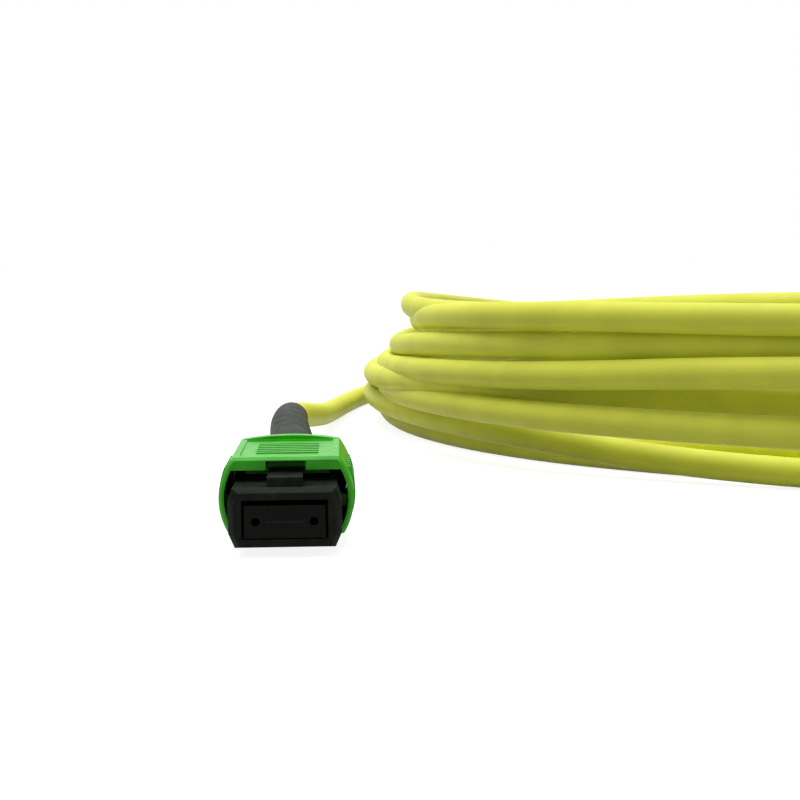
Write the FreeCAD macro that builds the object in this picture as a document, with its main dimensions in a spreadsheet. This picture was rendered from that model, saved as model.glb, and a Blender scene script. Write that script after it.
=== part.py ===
"""A female fibre patch cord connector with its coiled cable, as a parametric FreeCAD document.

Frame: origin at the middle of the ferrule's end face, +Y from the mating face towards the cable, +Z up.
Millimetres throughout. The connector lies on its coupling's flat underside, beside the coil.
"""

import math
import os
import re

import FreeCAD
import Part
import Sketcher

Vector = FreeCAD.Vector

# ---------------------------------------------------------------- driving sizes

# a size is a number, or a formula of other sizes
SIZES = {
    # how far a cut runs past the material, and how deep an added piece is rooted in it
    "cut_margin": 1.0,
    "join_overlap": 0.2,
    # ferrule
    "ferrule_width": 6.4,
    "ferrule_height": 2.5,
    "ferrule_length": 8.0,
    "polish_angle": 8.0,
    "shoulder_width": 7.0,
    "shoulder_height": 3.0,
    "shoulder_length": 2.0,
    "guide_pitch": 4.6,
    "guide_diameter": 0.7,
    "fibre_count": 12,
    "fibre_pitch": 0.25,
    "fibre_diameter": 0.125,
    "fibre_bore": 0.13,
    "fibre_recess": 0.01,
    "fibre_bore_length": 3.4,
    "ribbon_pocket_width": 3.5,
    "ribbon_pocket_height": 1.6,
    "glue_window_width": 2.9,
    "glue_window_length": 1.6,
    "glue_window_start": 3.8,
    # rubber sleeve round the fibres behind the ferrule
    "sleeve_clearance": 0.1,
    "sleeve_setback": 2.4,
    "sleeve_start": "ferrule_length - sleeve_setback",
    "sleeve_length": 3.9,
    "sleeve_slot_height": 0.26,
    "sleeve_slot_margin": 0.06,
    # pin keeper
    "keeper_length": 2.0,
    "keeper_opening_width": 3.7,
    "keeper_opening_height": 1.8,
    "keeper_pin_diameter": 0.72,
    "keeper_notch_width": 0.8,
    "keeper_notch_depth": 0.5,
    # travel of the sprung pieces
    "coupling_travel": 2.5,
    # springs
    "spring_seat_gap": 0.05,
    "ferrule_spring_turns": 5,
    "ferrule_spring_sides": 10,
    "ferrule_spring_wire": 0.3,
    "ferrule_spring_end_radius": 1.2,
    "ferrule_spring_straight": 3.8,
    "ferrule_spring_length": 4.9,
    "coupling_spring_turns": 6,
    "coupling_spring_sides": 8,
    "coupling_spring_wire": 0.16,
    "coupling_spring_radius": 0.42,
    "coupling_spring_inset": 0.12,
    "coupling_spring_across": "plug_half_width - coupling_spring_inset",
    # inner housing
    "plug_front": 0.15,
    "plug_bevel_length": 0.45,
    "plug_bevel_side": 0.42,
    "plug_bevel_top": 0.4,
    "plug_bevel_under": 0.1,
    "plug_side_gap": 0.55,
    "plug_half_width": "coupling_radius - coupling_side_wall - plug_side_gap",
    "plug_top": 2.65,
    "plug_under": 2.13,
    "plug_upper_cut_side": 0.75,
    "plug_upper_cut_height": 1.15,
    "plug_lower_cut_side": 0.5,
    "plug_lower_cut_height": 1.15,
    "tail_lower_cut_side": 0.9,
    "tail_lower_cut_height": 1.25,
    "plug_tail_length": 0.3,
    "plug_end": "coupling_front + coupling_length + plug_tail_length",
    "ferrule_clearance": 0.05,
    "ferrule_window_half_width": 3.42,
    "ferrule_window_top": 1.69,
    "ferrule_window_under": 1.4,
    "ferrule_window_depth": 2.8,
    "cavity_clearance": 0.1,
    "plug_key_width": 2.85,
    "plug_key_top": 3.4,
    "plug_key_front": 0.95,
    "plug_key_end": 7.4,
    "plug_key_bevel": 0.3,
    "latch_front": 3.3,
    "latch_length": 1.7,
    "latch_depth": 0.35,
    "latch_under": 0.7,
    "latch_top": 1.4,
    "spring_groove_front": 7.0,
    "spring_groove_setback": 2.8,
    "spring_groove_end": "plug_end - spring_groove_setback",
    "spring_groove_depth": 0.7,
    "spring_groove_floor": "plug_half_width - spring_groove_depth",
    "spring_groove_half_height": 0.6,
    "spring_height": 0.6,
    "barb_window_setback": 2.3,
    "barb_window_start": "plug_end - barb_window_setback",
    "barb_window_length": 1.4,
    "barb_window_width": 2.6,
    # coupling
    "coupling_radius": 5.5,
    "coupling_centre_height": 1.2,
    "coupling_top": 4.62,
    "coupling_under": 2.87,
    "coupling_front": 4.0,
    "coupling_length": 14.0,
    "coupling_side_wall": 0.45,
    "coupling_top_wall": 1.05,
    "coupling_floor_wall": 0.62,
    "key_groove_margin": 0.2,
    "key_groove_web": 0.3,
    "key_groove_length": 3.7,
    "relief_length": 2.5,
    "relief_height": 1.7,
    "guide_pad_front": 7.7,
    "guide_pad_length": 8.0,
    "guide_pad_half_width": 3.5,
    "guide_clearance": 0.12,
    "stop_tab_gap": 0.05,
    "stop_tab_length": 1.4,
    "stop_tab_clearance": 0.1,
    "front_edge_break": 0.25,
    "rear_lip_rise": 0.36,
    "rear_lip_length": 1.2,
    "rear_lip_half_width": 4.2,
    "grip_rib_count": 6,
    "grip_rib_spacing": 1.5,
    "grip_rib_front": 7.4,
    "grip_rib_width": 0.6,
    "grip_rib_height": 0.16,
    "grip_rib_top": 3.4,
    "grip_rib_under": 1.3,
    "panel_half_width": 3.8,
    "panel_front": 5.0,
    "panel_length": 11.4,
    "panel_depth": 0.12,
    "panel_bar_count": 6,
    "panel_bar_width": 0.5,
    "panel_bar_length": 5.2,
    "panel_bar_spacing": 1.25,
    "panel_bar_margin": 2.4,
    "panel_bar_root": 0.18,
    "panel_bar_rise": 0.17,
    # spring push
    "push_overlap": 0.2,
    "push_clearance": 0.05,
    "push_channel_width": 3.3,
    "push_channel_height": 1.5,
    "barb_width": 2.4,
    "barb_length": 1.2,
    "barb_rise": 0.5,
    "barb_ramp_share": 0.6,
    "flange_length": 2.0,
    "flange_inset": 0.15,
    "flange_half_width": "plug_half_width - flange_inset",
    "flange_top": 3.3,
    "flange_under": 2.0,
    "flange_corner": 0.9,
    "post_diameter": 3.6,
    "post_bore": 2.7,
    "post_length": 5.2,
    # strength yarn and crimp ring
    "layer_gap": 0.02,
    "yarn_thickness": 0.12,
    "yarn_setback": 0.3,
    "yarn_length": 4.6,
    "crimp_wall": 0.3,
    "crimp_length": 5.4,
    "crimp_neck_length": 3.4,
    "crimp_neck_gap": 0.03,
    "crimp_cone_length": 0.5,
    # boot
    "boot_run_clearance": 0.3,
    "boot_base_radius": 2.65,
    "boot_collar_radius": 2.8,
    "boot_collar_length": 1.6,
    "boot_bend_radius": 2.4,
    "boot_tip_radius": 1.85,
    "boot_shoulder_length": 3.0,
    "boot_tip_length": 7.0,
    "boot_end": 55.0,
    "boot_clearance": 0.1,
    # cable
    "cable_diameter": 3.0,
    "cable_setback": 8.1,
    "cable_start": "plug_end + cable_setback",
    "rest_gap": 0.01,
    # the corners of the cable's way from each connector to the coil
    "lead_bend_along": 38.5,
    "lead_rise_across": -1.6,
    "lead_rise_along": 60.0,
    "lead_rise_up": 3.2,
    "lead_fall_across": 1.9,
    "lead_fall_along": 93.0,
    "lead_fall_up": -0.6,
    "lead_end_across": 6.3,
    "lead_end_along": 124.0,
    "far_lead_end_along": 66.5,
    # ribbon of fibres between the ferrule and the cable
    "ribbon_gap": 0.2,
    "ribbon_start": "sleeve_start + sleeve_length + ribbon_gap",
    "ribbon_flat_end": 17.0,
    "ribbon_setback": 0.1,
    "ribbon_end": "cable_start - ribbon_setback",
    "ribbon_thickness": 0.2,
    "ribbon_waist_width": 1.7,
    "ribbon_waist_height": 1.0,
    "ribbon_gathered_width": 1.2,
    # coil: the outer shape of the wound turns
    "coil_centre_across": 89.4,
    "coil_centre_along": 115.8,
    "coil_outer_across": 82.0,
    "coil_outer_along": 97.0,
    "coil_band": 9.0,
    "coil_end_radius": 74.0,
    "coil_low_height": 6.2,
    "coil_slump": 20.0,
    "coil_slump_overlap": 3.2,
    "coil_height": 20.6,
    "coil_back_drop": 6.0,
    # the far connector, inside the coil
    "far_across": 65.7,
    "far_along": 153.3,
    "far_turn": 133.8,
}

doc = FreeCAD.newDocument("FibreConnector")
sheet = doc.addObject("Spreadsheet::Sheet", "Sizes")
for row, alias in enumerate(SIZES, 1):
    sheet.set(f"A{row}", alias)
    sheet.setAlias(f"B{row}", alias)
for row, size in enumerate(SIZES.values(), 1):
    sheet.set(f"B{row}", f"={size}")
doc.recompute()

ALIAS = re.compile(r"\b(" + "|".join(sorted(SIZES, key=len, reverse=True)) + r")\b")


def bound(formula):
    """The formula with each size's name pointed at the sheet."""
    return ALIAS.sub(r"Sizes.\1", str(formula))


def number(formula):
    """What the formula comes to with the sheet as it is now."""
    return float(sheet.evalExpression(str(formula)))


def bind(thing, **formulas):
    """Tie a feature's sizes to the sheet: bind(pad, Length="plug_end")."""
    for prop, formula in formulas.items():
        thing.setExpression(prop.replace("__", "."), bound(formula))


# ---------------------------------------------------------------- sketches and features


def far_frame():
    """Where the cord's other connector lies."""
    spin = FreeCAD.Rotation(Vector(0, 0, 1), number("far_turn"))
    return FreeCAD.Placement(Vector(number("far_across"), number("far_along"), 0), spin)


class Connector:
    """One end of the cord: gives every piece its label and its place."""

    def __init__(self, prefix, placement, detailed):
        self.prefix = prefix
        self.placement = placement
        self.detailed = detailed

    def body(self, name):
        made = doc.addObject("PartDesign::Body", self.prefix + name)
        made.Label = self.prefix + name
        made.Placement = self.placement
        return made

    def feature(self, name, shape):
        made = doc.addObject("Part::Feature", self.prefix + name)
        made.Label = self.prefix + name
        made.Shape = shape
        made.Placement = self.placement.multiply(shape.Placement)
        return made


def plane_of(body, role):
    return next(item for item in body.Origin.OriginFeatures if item.Role == role)


def new_sketch(body, name, plane, offset):
    """An empty sketch. On XZ_Plane offset is the station along +Y, elsewhere along the plane's normal."""
    sketch = body.newObject("Sketcher::SketchObject", f"{body.Name}_{name}")
    sketch.AttachmentSupport = (plane_of(body, plane), [""])
    sketch.MapMode = "FlatFace"
    sign = "-" if plane == "XZ_Plane" else ""
    sketch.setExpression(".AttachmentOffset.Base.z", f"{sign}({bound(offset)}) * 1 mm")
    return sketch


def pin_point(sketch, edge, end, across, up):
    """Tie one point of a sketch to the sheet, measured from the sketch's origin."""
    for kind, formula in (("DistanceX", across), ("DistanceY", up)):
        index = sketch.addConstraint(
            Sketcher.Constraint(kind, -1, 1, edge, end, number(formula))
        )
        sketch.setExpression(f"Constraints[{index}]", bound(formula))


def draw(sketch, corners):
    """Add a closed outline. A corner is (across, up), or (across, up, radius) where an arc leaves it.

    The outline runs anticlockwise, and an arc bulges out of it.
    """
    points = [Vector(number(c[0]), number(c[1]), 0) for c in corners]
    edges = []
    for i, corner in enumerate(corners):
        here, there = points[i], points[(i + 1) % len(points)]
        if len(corner) == 2:
            edges.append(sketch.addGeometry(Part.LineSegment(here, there)))
            continue
        radius = number(corner[2])
        middle = (here + there) * 0.5
        half = (there - here).Length / 2
        side = Vector(there.y - here.y, here.x - there.x, 0).normalize()
        bulge = radius - math.sqrt(radius * radius - half * half)
        edges.append(sketch.addGeometry(Part.Arc(here, middle + side * bulge, there)))
        index = sketch.addConstraint(Sketcher.Constraint("Radius", edges[-1], radius))
        sketch.setExpression(f"Constraints[{index}]", bound(corner[2]))
    for i, corner in enumerate(corners):
        after = edges[(i + 1) % len(edges)]
        sketch.addConstraint(Sketcher.Constraint("Coincident", edges[i], 2, after, 1))
        pin_point(sketch, edges[i], 1, corner[0], corner[1])


def box_corners(left, right, low, high):
    return [(left, low), (right, low), (right, high), (left, high)]


def circle(sketch, across, up, radius):
    """Add a circle, tied to the sheet by its centre and radius."""
    centre = Vector(number(across), number(up), 0)
    edge = sketch.addGeometry(Part.Circle(centre, Vector(0, 0, 1), number(radius)))
    index = sketch.addConstraint(Sketcher.Constraint("Radius", edge, number(radius)))
    sketch.setExpression(f"Constraints[{index}]", bound(radius))
    pin_point(sketch, edge, 3, across, up)


def in_row(body, name, feature, axis, count, spacing):
    """Repeat a feature along one of the body's axes."""
    row = body.newObject("PartDesign::LinearPattern", f"{body.Name}_{name}")
    row.Originals = [feature]
    row.Direction = (plane_of(body, axis), [""])
    row.Mode = "Spacing"
    bind(row, Occurrences=count, Offset=spacing)
    body.Tip = row
    doc.recompute()


def outline_sketch(body, name, corners, offset="0", plane="XZ_Plane"):
    sketch = new_sketch(body, name, plane, offset)
    draw(sketch, corners)
    return sketch


def volume_of(body):
    return body.Shape.Volume if not body.Shape.isNull() else 0.0


def grow(body, kind, name, sketch, **settings):
    """Add a feature made from a sketch and check that it adds or removes metal as its kind should."""
    before = volume_of(body)
    feature = body.newObject(kind, f"{body.Name}_{name}")
    if kind != "PartDesign::AdditiveLoft":
        feature.Profile = sketch
    formulas = settings.pop("formulas", {})
    for prop, setting in settings.items():
        setattr(feature, prop, setting)
    bind(feature, **formulas)
    sketch.Visibility = False
    doc.recompute()
    change = volume_of(body) - before
    adds = kind in ("PartDesign::Pad", "PartDesign::AdditiveLoft", "PartDesign::Revolution")
    if (change > 1e-6) != adds or abs(change) < 1e-6:
        raise RuntimeError(f"{feature.Name} changed its body's volume by {change:.4f}")
    return feature


def pad(body, name, corners, start, length):
    """Solid from an outline in the XZ plane, from the station start towards +Y."""
    sketch = outline_sketch(body, name + "_outline", corners, start)
    return grow(body, "PartDesign::Pad", name, sketch, Reversed=True, formulas={"Length": length})


def pocket(body, name, corners, start, length):
    """Cut of an outline in the XZ plane, from the station start towards +Y."""
    sketch = outline_sketch(body, name + "_outline", corners, start)
    return grow(body, "PartDesign::Pocket", name, sketch, Reversed=False, formulas={"Length": length})


def mirrored_pocket(body, name, corners, start, length):
    """The same cut on both sides of the YZ plane."""
    sketch = outline_sketch(body, name + "_outline", corners, start)
    draw(sketch, mirror_corners(corners))
    return grow(body, "PartDesign::Pocket", name, sketch, Reversed=False, formulas={"Length": length})


def mirror_corners(corners):
    """The outline on the other side of the YZ plane, still anticlockwise."""
    flipped = []
    count = len(corners)
    for i in range(count):
        corner = corners[(-i) % count]
        before = corners[(-i - 1) % count]
        flipped.append((f"-({corner[0]})", corner[1]) + tuple(before[2:]))
    return flipped


# ---------------------------------------------------------------- shared outlines


def octagon(half_width, top, under, upper_side, upper_height, lower_side, lower_height):
    """A rectangle with its upper and its lower corners cut off, anticlockwise from the lower left."""
    return [
        (f"-({half_width}) + {lower_side}", f"-({under})"),
        (f"{half_width} - {lower_side}", f"-({under})"),
        (half_width, f"-({under}) + {lower_height}"),
        (half_width, f"{top} - {upper_height}"),
        (f"{half_width} - {upper_side}", top),
        (f"-({half_width}) + {upper_side}", top),
        (f"-({half_width})", f"{top} - {upper_height}"),
        (f"-({half_width})", f"-({under}) + {lower_height}"),
    ]


def chord(radius, centre, height):
    """Half the width of a circle at a height."""
    return f"sqrt(({radius})^2 - ({height} - {centre})^2)"


def barrel(radius, top, under):
    """A circle cut off flat at the top and at the bottom, anticlockwise from the lower left."""
    centre = "coupling_centre_height"
    low, high = chord(radius, centre, f"-({under})"), chord(radius, centre, top)
    return [
        (f"-{low}", f"-({under})"),
        (low, f"-({under})", radius),
        (high, top),
        (f"-{high}", top, radius),
    ]


# ---------------------------------------------------------------- ferrule group


def make_ferrule(end):
    """Moulded rectangular ferrule: two guide holes, a row of fibre bores, a shoulder and a glue window."""
    body = end.body("ferrule")
    half = "ferrule_width / 2"
    skew = "ferrule_height"
    pad(
        body,
        "bar",
        box_corners(f"-{half}", half, "-ferrule_height / 2", "ferrule_height / 2"),
        f"-{skew}",
        f"ferrule_length + {skew}",
    )
    wide = "shoulder_width / 2"
    pad(
        body,
        "shoulder",
        box_corners(f"-{wide}", wide, "-shoulder_height / 2", "shoulder_height / 2"),
        "ferrule_length - shoulder_length",
        "shoulder_length",
    )
    # the polished end face leans back towards the key side
    reach = "ferrule_height"
    lean = f"{reach} * tan(polish_angle)"
    face = outline_sketch(
        body,
        "face_outline",
        [
            (f"-2 * {reach}", f"-{reach}"),
            (f"-{lean}", f"-{reach}"),
            (lean, reach),
            (f"-2 * {reach}", reach),
        ],
        plane="YZ_Plane",
    )
    grow(
        body,
        "PartDesign::Pocket",
        "polished_face",
        face,
        Midplane=True,
        formulas={"Length": "ferrule_width * 2"},
    )
    pocket(
        body,
        "ribbon_pocket",
        box_corners(
            "-ribbon_pocket_width / 2",
            "ribbon_pocket_width / 2",
            "-ribbon_pocket_height / 2",
            "ribbon_pocket_height / 2",
        ),
        "fibre_bore_length",
        "ferrule_length",
    )
    window = outline_sketch(
        body,
        "glue_window_outline",
        box_corners(
            "-glue_window_width / 2",
            "glue_window_width / 2",
            "glue_window_start",
            "glue_window_start + glue_window_length",
        ),
        plane="XY_Plane",
    )
    grow(
        body,
        "PartDesign::Pocket",
        "glue_window",
        window,
        Reversed=True,
        formulas={"Length": "ferrule_height"},
    )
    guides = new_sketch(body, "guide_circles", "XZ_Plane", "-ferrule_height")
    for side in ("-", ""):
        circle(guides, f"{side}guide_pitch / 2", "0", "guide_diameter / 2")
    grow(
        body,
        "PartDesign::Pocket",
        "guide_holes",
        guides,
        formulas={"Length": "ferrule_length * 2"},
    )
    return body


def fibre_section(diameter):
    """A small eight-sided ring, its flats a diameter apart, round the first fibre of the row."""
    half = f"({diameter} / 2)"
    flat = f"({diameter} / 2 * tan(22.5))"
    first = "(-(fibre_count - 1) / 2 * fibre_pitch)"
    ring = [(flat, half), (half, flat)]
    corners = []
    for across, up in ((1, -1), (1, 1), (-1, 1), (-1, -1)):
        pair = ring if across * up < 0 else ring[::-1]
        for x, z in pair:
            corners.append((f"{first} + {across} * {x}", f"{up} * {z}"))
    return corners


def make_fibre_bores(body):
    """The row of bores that holds the fibres."""
    bore = pocket(
        body,
        "fibre_bore",
        fibre_section("fibre_bore"),
        "-ferrule_height",
        "ferrule_height + fibre_bore_length + ferrule_clearance",
    )
    in_row(body, "fibre_bores", bore, "X_Axis", "fibre_count", "fibre_pitch")


def make_fibres(end):
    """Bare glass fibres, glued in the ferrule and polished flush with it."""
    body = end.body("fibres")
    body.AllowCompound = True
    rod = pad(body, "rod", fibre_section("fibre_diameter"), "fibre_recess", "ribbon_start - fibre_recess")
    in_row(body, "rods", rod, "X_Axis", "fibre_count", "fibre_pitch")


def make_ferrule_boot(end):
    """Soft sleeve pushed into the back of the ferrule, which keeps the glue in and the fibres flat."""
    body = end.body("ferrule_boot")
    half = "(ribbon_pocket_width / 2 - sleeve_clearance)"
    tall = "(ribbon_pocket_height / 2 - sleeve_clearance)"
    pad(body, "block", box_corners(f"-{half}", half, f"-{tall}", tall), "sleeve_start", "sleeve_length")
    slot = "(fibre_count * fibre_pitch / 2 + sleeve_slot_margin / 2)"
    pocket(
        body,
        "slot",
        box_corners(f"-{slot}", slot, "-sleeve_slot_height / 2", "sleeve_slot_height / 2"),
        "sleeve_start - cut_margin",
        "sleeve_length + 2 * cut_margin",
    )


def make_pin_keeper(end):
    """Plate behind the ferrule that would hold guide pins and that the ferrule spring pushes on."""
    body = end.body("pin_keeper")
    half, tall = "shoulder_width / 2", "shoulder_height / 2"
    pad(body, "plate", box_corners(f"-{half}", half, f"-{tall}", tall), "ferrule_length", "keeper_length")
    wide, high = "keeper_opening_width / 2", "keeper_opening_height / 2"
    pocket(
        body,
        "ribbon_opening",
        box_corners(f"-{wide}", wide, f"-{high}", high),
        "ferrule_length - cut_margin",
        "keeper_length + 2 * cut_margin",
    )
    sketch = new_sketch(body, "pin_circles", "XZ_Plane", "ferrule_length - cut_margin")
    for side in ("-", ""):
        circle(sketch, f"{side}guide_pitch / 2", "0", "keeper_pin_diameter / 2")
    grow(
        body,
        "PartDesign::Pocket",
        "pin_holes",
        sketch,
        formulas={"Length": "keeper_length + 2 * cut_margin"},
    )
    notch = "keeper_notch_width / 2"
    pocket(
        body,
        "top_notch",
        box_corners(f"-{notch}", notch, f"{tall} - keeper_notch_depth", f"{tall} + cut_margin"),
        "ferrule_length - cut_margin",
        "keeper_length + 2 * cut_margin",
    )


# ---------------------------------------------------------------- springs


def square_section(centre, across, up, size):
    """A square wire section as a closed wire round its centre."""
    half = size / 2
    ring = [
        centre + across * (half * a) + up * (half * b)
        for a, b in ((-1, -1), (1, -1), (1, 1), (-1, 1))
    ]
    return Part.makePolygon(ring + [ring[0]])


def coil_points(turns, sides, radius, straight, length):
    """A spring's centre line along +Z as short straight runs, so many to a turn, oval if straight."""
    loop = []
    for step in range(sides):
        turn = 2 * math.pi * (step + 0.5) / sides
        lift = math.copysign(straight / 2, math.sin(turn))
        loop.append(Vector(radius * math.cos(turn), radius * math.sin(turn) + lift, 0))
    reached = [0.0]
    for step in range(1, sides + 1):
        reached.append(reached[-1] + (loop[step % sides] - loop[step - 1]).Length)
    points = []
    for step in range(turns * sides + 1):
        whole, part = divmod(step, sides)
        height = length * (whole + reached[part] / reached[-1]) / turns
        points.append(loop[part] + Vector(0, 0, height))
    return points


def wind(turns, sides, radius, straight, length, wire):
    """One closed solid of square wire wound along +Y, from 0 to the spring's length."""
    points = coil_points(turns, sides, radius, straight, length - wire)
    way = points[1] - points[0]
    across = way.cross(Vector(0, 0, 1)).normalize()
    section = square_section(points[0], across, across.cross(way).normalize(), wire)
    solid = Part.makePolygon(points).makePipeShell([section], True, False, 1)
    solid.translate(Vector(0, 0, wire / 2))
    solid.rotate(Vector(0, 0, 0), Vector(1, 0, 0), -90)
    return solid


def make_ferrule_spring(end):
    """Oval spring that presses the ferrule forward and lets it float."""
    wound = wind(
        int(number("ferrule_spring_turns")),
        int(number("ferrule_spring_sides")),
        number("ferrule_spring_end_radius"),
        number("ferrule_spring_straight"),
        number("ferrule_spring_length"),
        number("ferrule_spring_wire"),
    )
    wound.rotate(Vector(0, 0, 0), Vector(0, 1, 0), 90)
    wound.translate(Vector(0, number("ferrule_length + keeper_length + spring_seat_gap"), 0))
    end.feature("ferrule_spring", wound)


def make_coupling_springs(end):
    """The two small springs in the plug's side grooves, which hold the coupling forward."""
    start = number("spring_groove_front + stop_tab_gap + stop_tab_length + spring_seat_gap")
    length = number("spring_groove_end - spring_seat_gap") - start
    for side, name in ((-1, "coupling_spring_left"), (1, "coupling_spring_right")):
        wound = wind(
            int(number("coupling_spring_turns")),
            int(number("coupling_spring_sides")),
            number("coupling_spring_radius"),
            0.0,
            length,
            number("coupling_spring_wire"),
        )
        across = side * number("coupling_spring_across")
        wound.translate(Vector(across, start, number("spring_height")))
        end.feature(name, wound)


# ---------------------------------------------------------------- inner housing


def plug_outline(lower_side, lower_height, inset=None):
    """The plug's outline, or the smaller one of its bevelled front."""
    side, top, under = inset or ("0", "0", "0")
    return octagon(
        f"(plug_half_width - {side})",
        f"(plug_top - {top})",
        f"(plug_under - {under})",
        "plug_upper_cut_side",
        "plug_upper_cut_height",
        lower_side,
        lower_height,
    )


def make_inner_housing(end):
    """The plug itself: a moulded tube with a key on top, latch notches and grooves for the springs."""
    body = end.body("inner_housing")
    nose = plug_outline("plug_lower_cut_side", "plug_lower_cut_height")
    small = plug_outline(
        "plug_lower_cut_side",
        "plug_lower_cut_height",
        ("plug_bevel_side", "plug_bevel_top", "plug_bevel_under"),
    )
    front = outline_sketch(body, "front_outline", small, "plug_front")
    back = outline_sketch(body, "bevel_outline", nose, "plug_front + plug_bevel_length")
    grow(
        body,
        "PartDesign::AdditiveLoft",
        "bevel",
        back,
        Profile=front,
        Sections=[back],
        Ruled=True,
    )
    nose_start = "(plug_front + plug_bevel_length)"
    tail_start = "(coupling_front - guide_clearance)"
    pad(body, "nose", nose, nose_start, f"{tail_start} - {nose_start}")
    tail = plug_outline("tail_lower_cut_side", "tail_lower_cut_height")
    pad(body, "tail", tail, tail_start, f"plug_end - {tail_start}")
    half_key = "plug_key_width / 2"
    side_view = [
        ("plug_key_front", "plug_top - join_overlap"),
        ("plug_key_end", "plug_top - join_overlap"),
        ("plug_key_end", "plug_key_top"),
        ("plug_key_front + plug_key_bevel / 2", "plug_key_top"),
        ("plug_key_front", "plug_key_top - plug_key_bevel"),
    ]
    key = outline_sketch(body, "key_outline", side_view, plane="YZ_Plane")
    grow(
        body,
        "PartDesign::Pad",
        "key",
        key,
        Midplane=True,
        formulas={"Length": f"2 * {half_key}"},
    )
    wide = "(ferrule_width / 2 + ferrule_clearance)"
    tall = "(ferrule_height / 2 + ferrule_clearance)"
    way = box_corners(f"-{wide}", wide, f"-{tall}", tall)
    pocket(body, "ferrule_way", way, "0", "plug_end + cut_margin")
    pocket(
        body,
        "ferrule_window",
        box_corners(
            "-ferrule_window_half_width",
            "ferrule_window_half_width",
            "-ferrule_window_under",
            "ferrule_window_top",
        ),
        "0",
        "plug_front + ferrule_window_depth",
    )
    broad = "(shoulder_width / 2 + cavity_clearance)"
    high = "(shoulder_height / 2 + cavity_clearance)"
    pocket(
        body,
        "cavity",
        box_corners(f"-{broad}", broad, f"-{high}", high),
        "ferrule_length - shoulder_length",
        "plug_end",
    )
    mirrored_pocket(
        body,
        "spring_grooves",
        box_corners(
            "spring_groove_floor",
            "plug_half_width + cut_margin",
            "spring_height - spring_groove_half_height",
            "spring_height + spring_groove_half_height",
        ),
        "spring_groove_front",
        "spring_groove_end - spring_groove_front",
    )
    mirrored_pocket(
        body,
        "latch_notches",
        box_corners(
            "plug_half_width - latch_depth",
            "plug_half_width + cut_margin",
            "-latch_under",
            "latch_top",
        ),
        "latch_front",
        "latch_length",
    )
    windows = outline_sketch(
        body,
        "barb_window_outline",
        box_corners(
            "-barb_window_width / 2",
            "barb_window_width / 2",
            "barb_window_start",
            "barb_window_start + barb_window_length",
        ),
        plane="XY_Plane",
    )
    grow(
        body,
        "PartDesign::Pocket",
        "barb_windows",
        windows,
        Midplane=True,
        formulas={"Length": "plug_key_top * 4"},
    )


# ---------------------------------------------------------------- coupling


def front_edges(shape):
    """Names of the edges round the front face of the plain coupling tube."""
    front = number("coupling_front")
    names = []
    for index, edge in enumerate(shape.Edges, 1):
        box = edge.BoundBox
        if abs(box.YMin - front) < 1e-4 and abs(box.YMax - front) < 1e-4:
            names.append(f"Edge{index}")
    return names


def make_coupling(end):
    """The sliding outer coupling: a cut-off round tube with a key groove, stop tabs, ribs and a lip."""
    body = end.body("coupling")
    body.Placement = FreeCAD.Placement()
    outer = barrel("coupling_radius", "coupling_top", "coupling_under")
    pad(body, "tube", outer, "coupling_front", "coupling_length")
    tube_pad = body.Tip
    edge_break = body.newObject("PartDesign::Chamfer", f"{body.Name}_front_break")
    edge_break.Base = (tube_pad, front_edges(tube_pad.Shape))
    bind(edge_break, Size="front_edge_break")
    doc.recompute()
    if end.detailed:
        make_coupling_grip(body)
    rear = "(coupling_front + coupling_length)"
    lip_half = "rear_lip_half_width"
    lip_radius = f"(({lip_half})^2 + rear_lip_rise^2) / (2 * rear_lip_rise)"
    pad(
        body,
        "rear_lip",
        [
            (f"-{lip_half}", "coupling_top - join_overlap"),
            (lip_half, "coupling_top - join_overlap"),
            (lip_half, "coupling_top", lip_radius),
            (f"-{lip_half}", "coupling_top"),
        ],
        f"{rear} - rear_lip_length",
        "rear_lip_length",
    )
    inner = "(coupling_radius - coupling_side_wall)"
    ceiling = "(coupling_top - coupling_top_wall)"
    floor = "(coupling_under - coupling_floor_wall)"
    pocket(
        body,
        "bore",
        barrel(inner, ceiling, floor),
        "coupling_front - cut_margin",
        "coupling_length + 2 * cut_margin",
    )
    groove = "(plug_key_width / 2 + key_groove_margin)"
    pocket(
        body,
        "key_groove",
        box_corners(
            f"-{groove}",
            groove,
            f"{ceiling} - join_overlap",
            "coupling_top - key_groove_web",
        ),
        "coupling_front - cut_margin",
        "key_groove_length + cut_margin",
    )
    pocket(
        body,
        "front_relief",
        box_corners(
            "-coupling_radius",
            "coupling_radius",
            "-coupling_under - cut_margin",
            "-relief_height",
        ),
        "coupling_front - cut_margin",
        "relief_length + cut_margin",
    )
    pad(
        body,
        "guide_pad",
        box_corners(
            "-guide_pad_half_width",
            "guide_pad_half_width",
            "plug_top + guide_clearance",
            f"{ceiling} + join_overlap",
        ),
        "guide_pad_front",
        "guide_pad_length",
    )
    tab_low = "(spring_height - spring_groove_half_height + stop_tab_clearance)"
    tab_high = "(spring_height + spring_groove_half_height - stop_tab_clearance)"
    tab_out = chord("coupling_radius - coupling_side_wall / 2", "coupling_centre_height", "0")
    tab = box_corners("spring_groove_floor + stop_tab_clearance", tab_out, tab_low, tab_high)
    tabs = outline_sketch(body, "stop_tab_outline", tab, "spring_groove_front + stop_tab_gap")
    draw(tabs, mirror_corners(tab))
    grow(
        body,
        "PartDesign::Pad",
        "stop_tabs",
        tabs,
        Reversed=True,
        formulas={"Length": "stop_tab_length"},
    )
    if end.detailed:
        make_coupling_panel(body)
    body.Placement = end.placement


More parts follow.
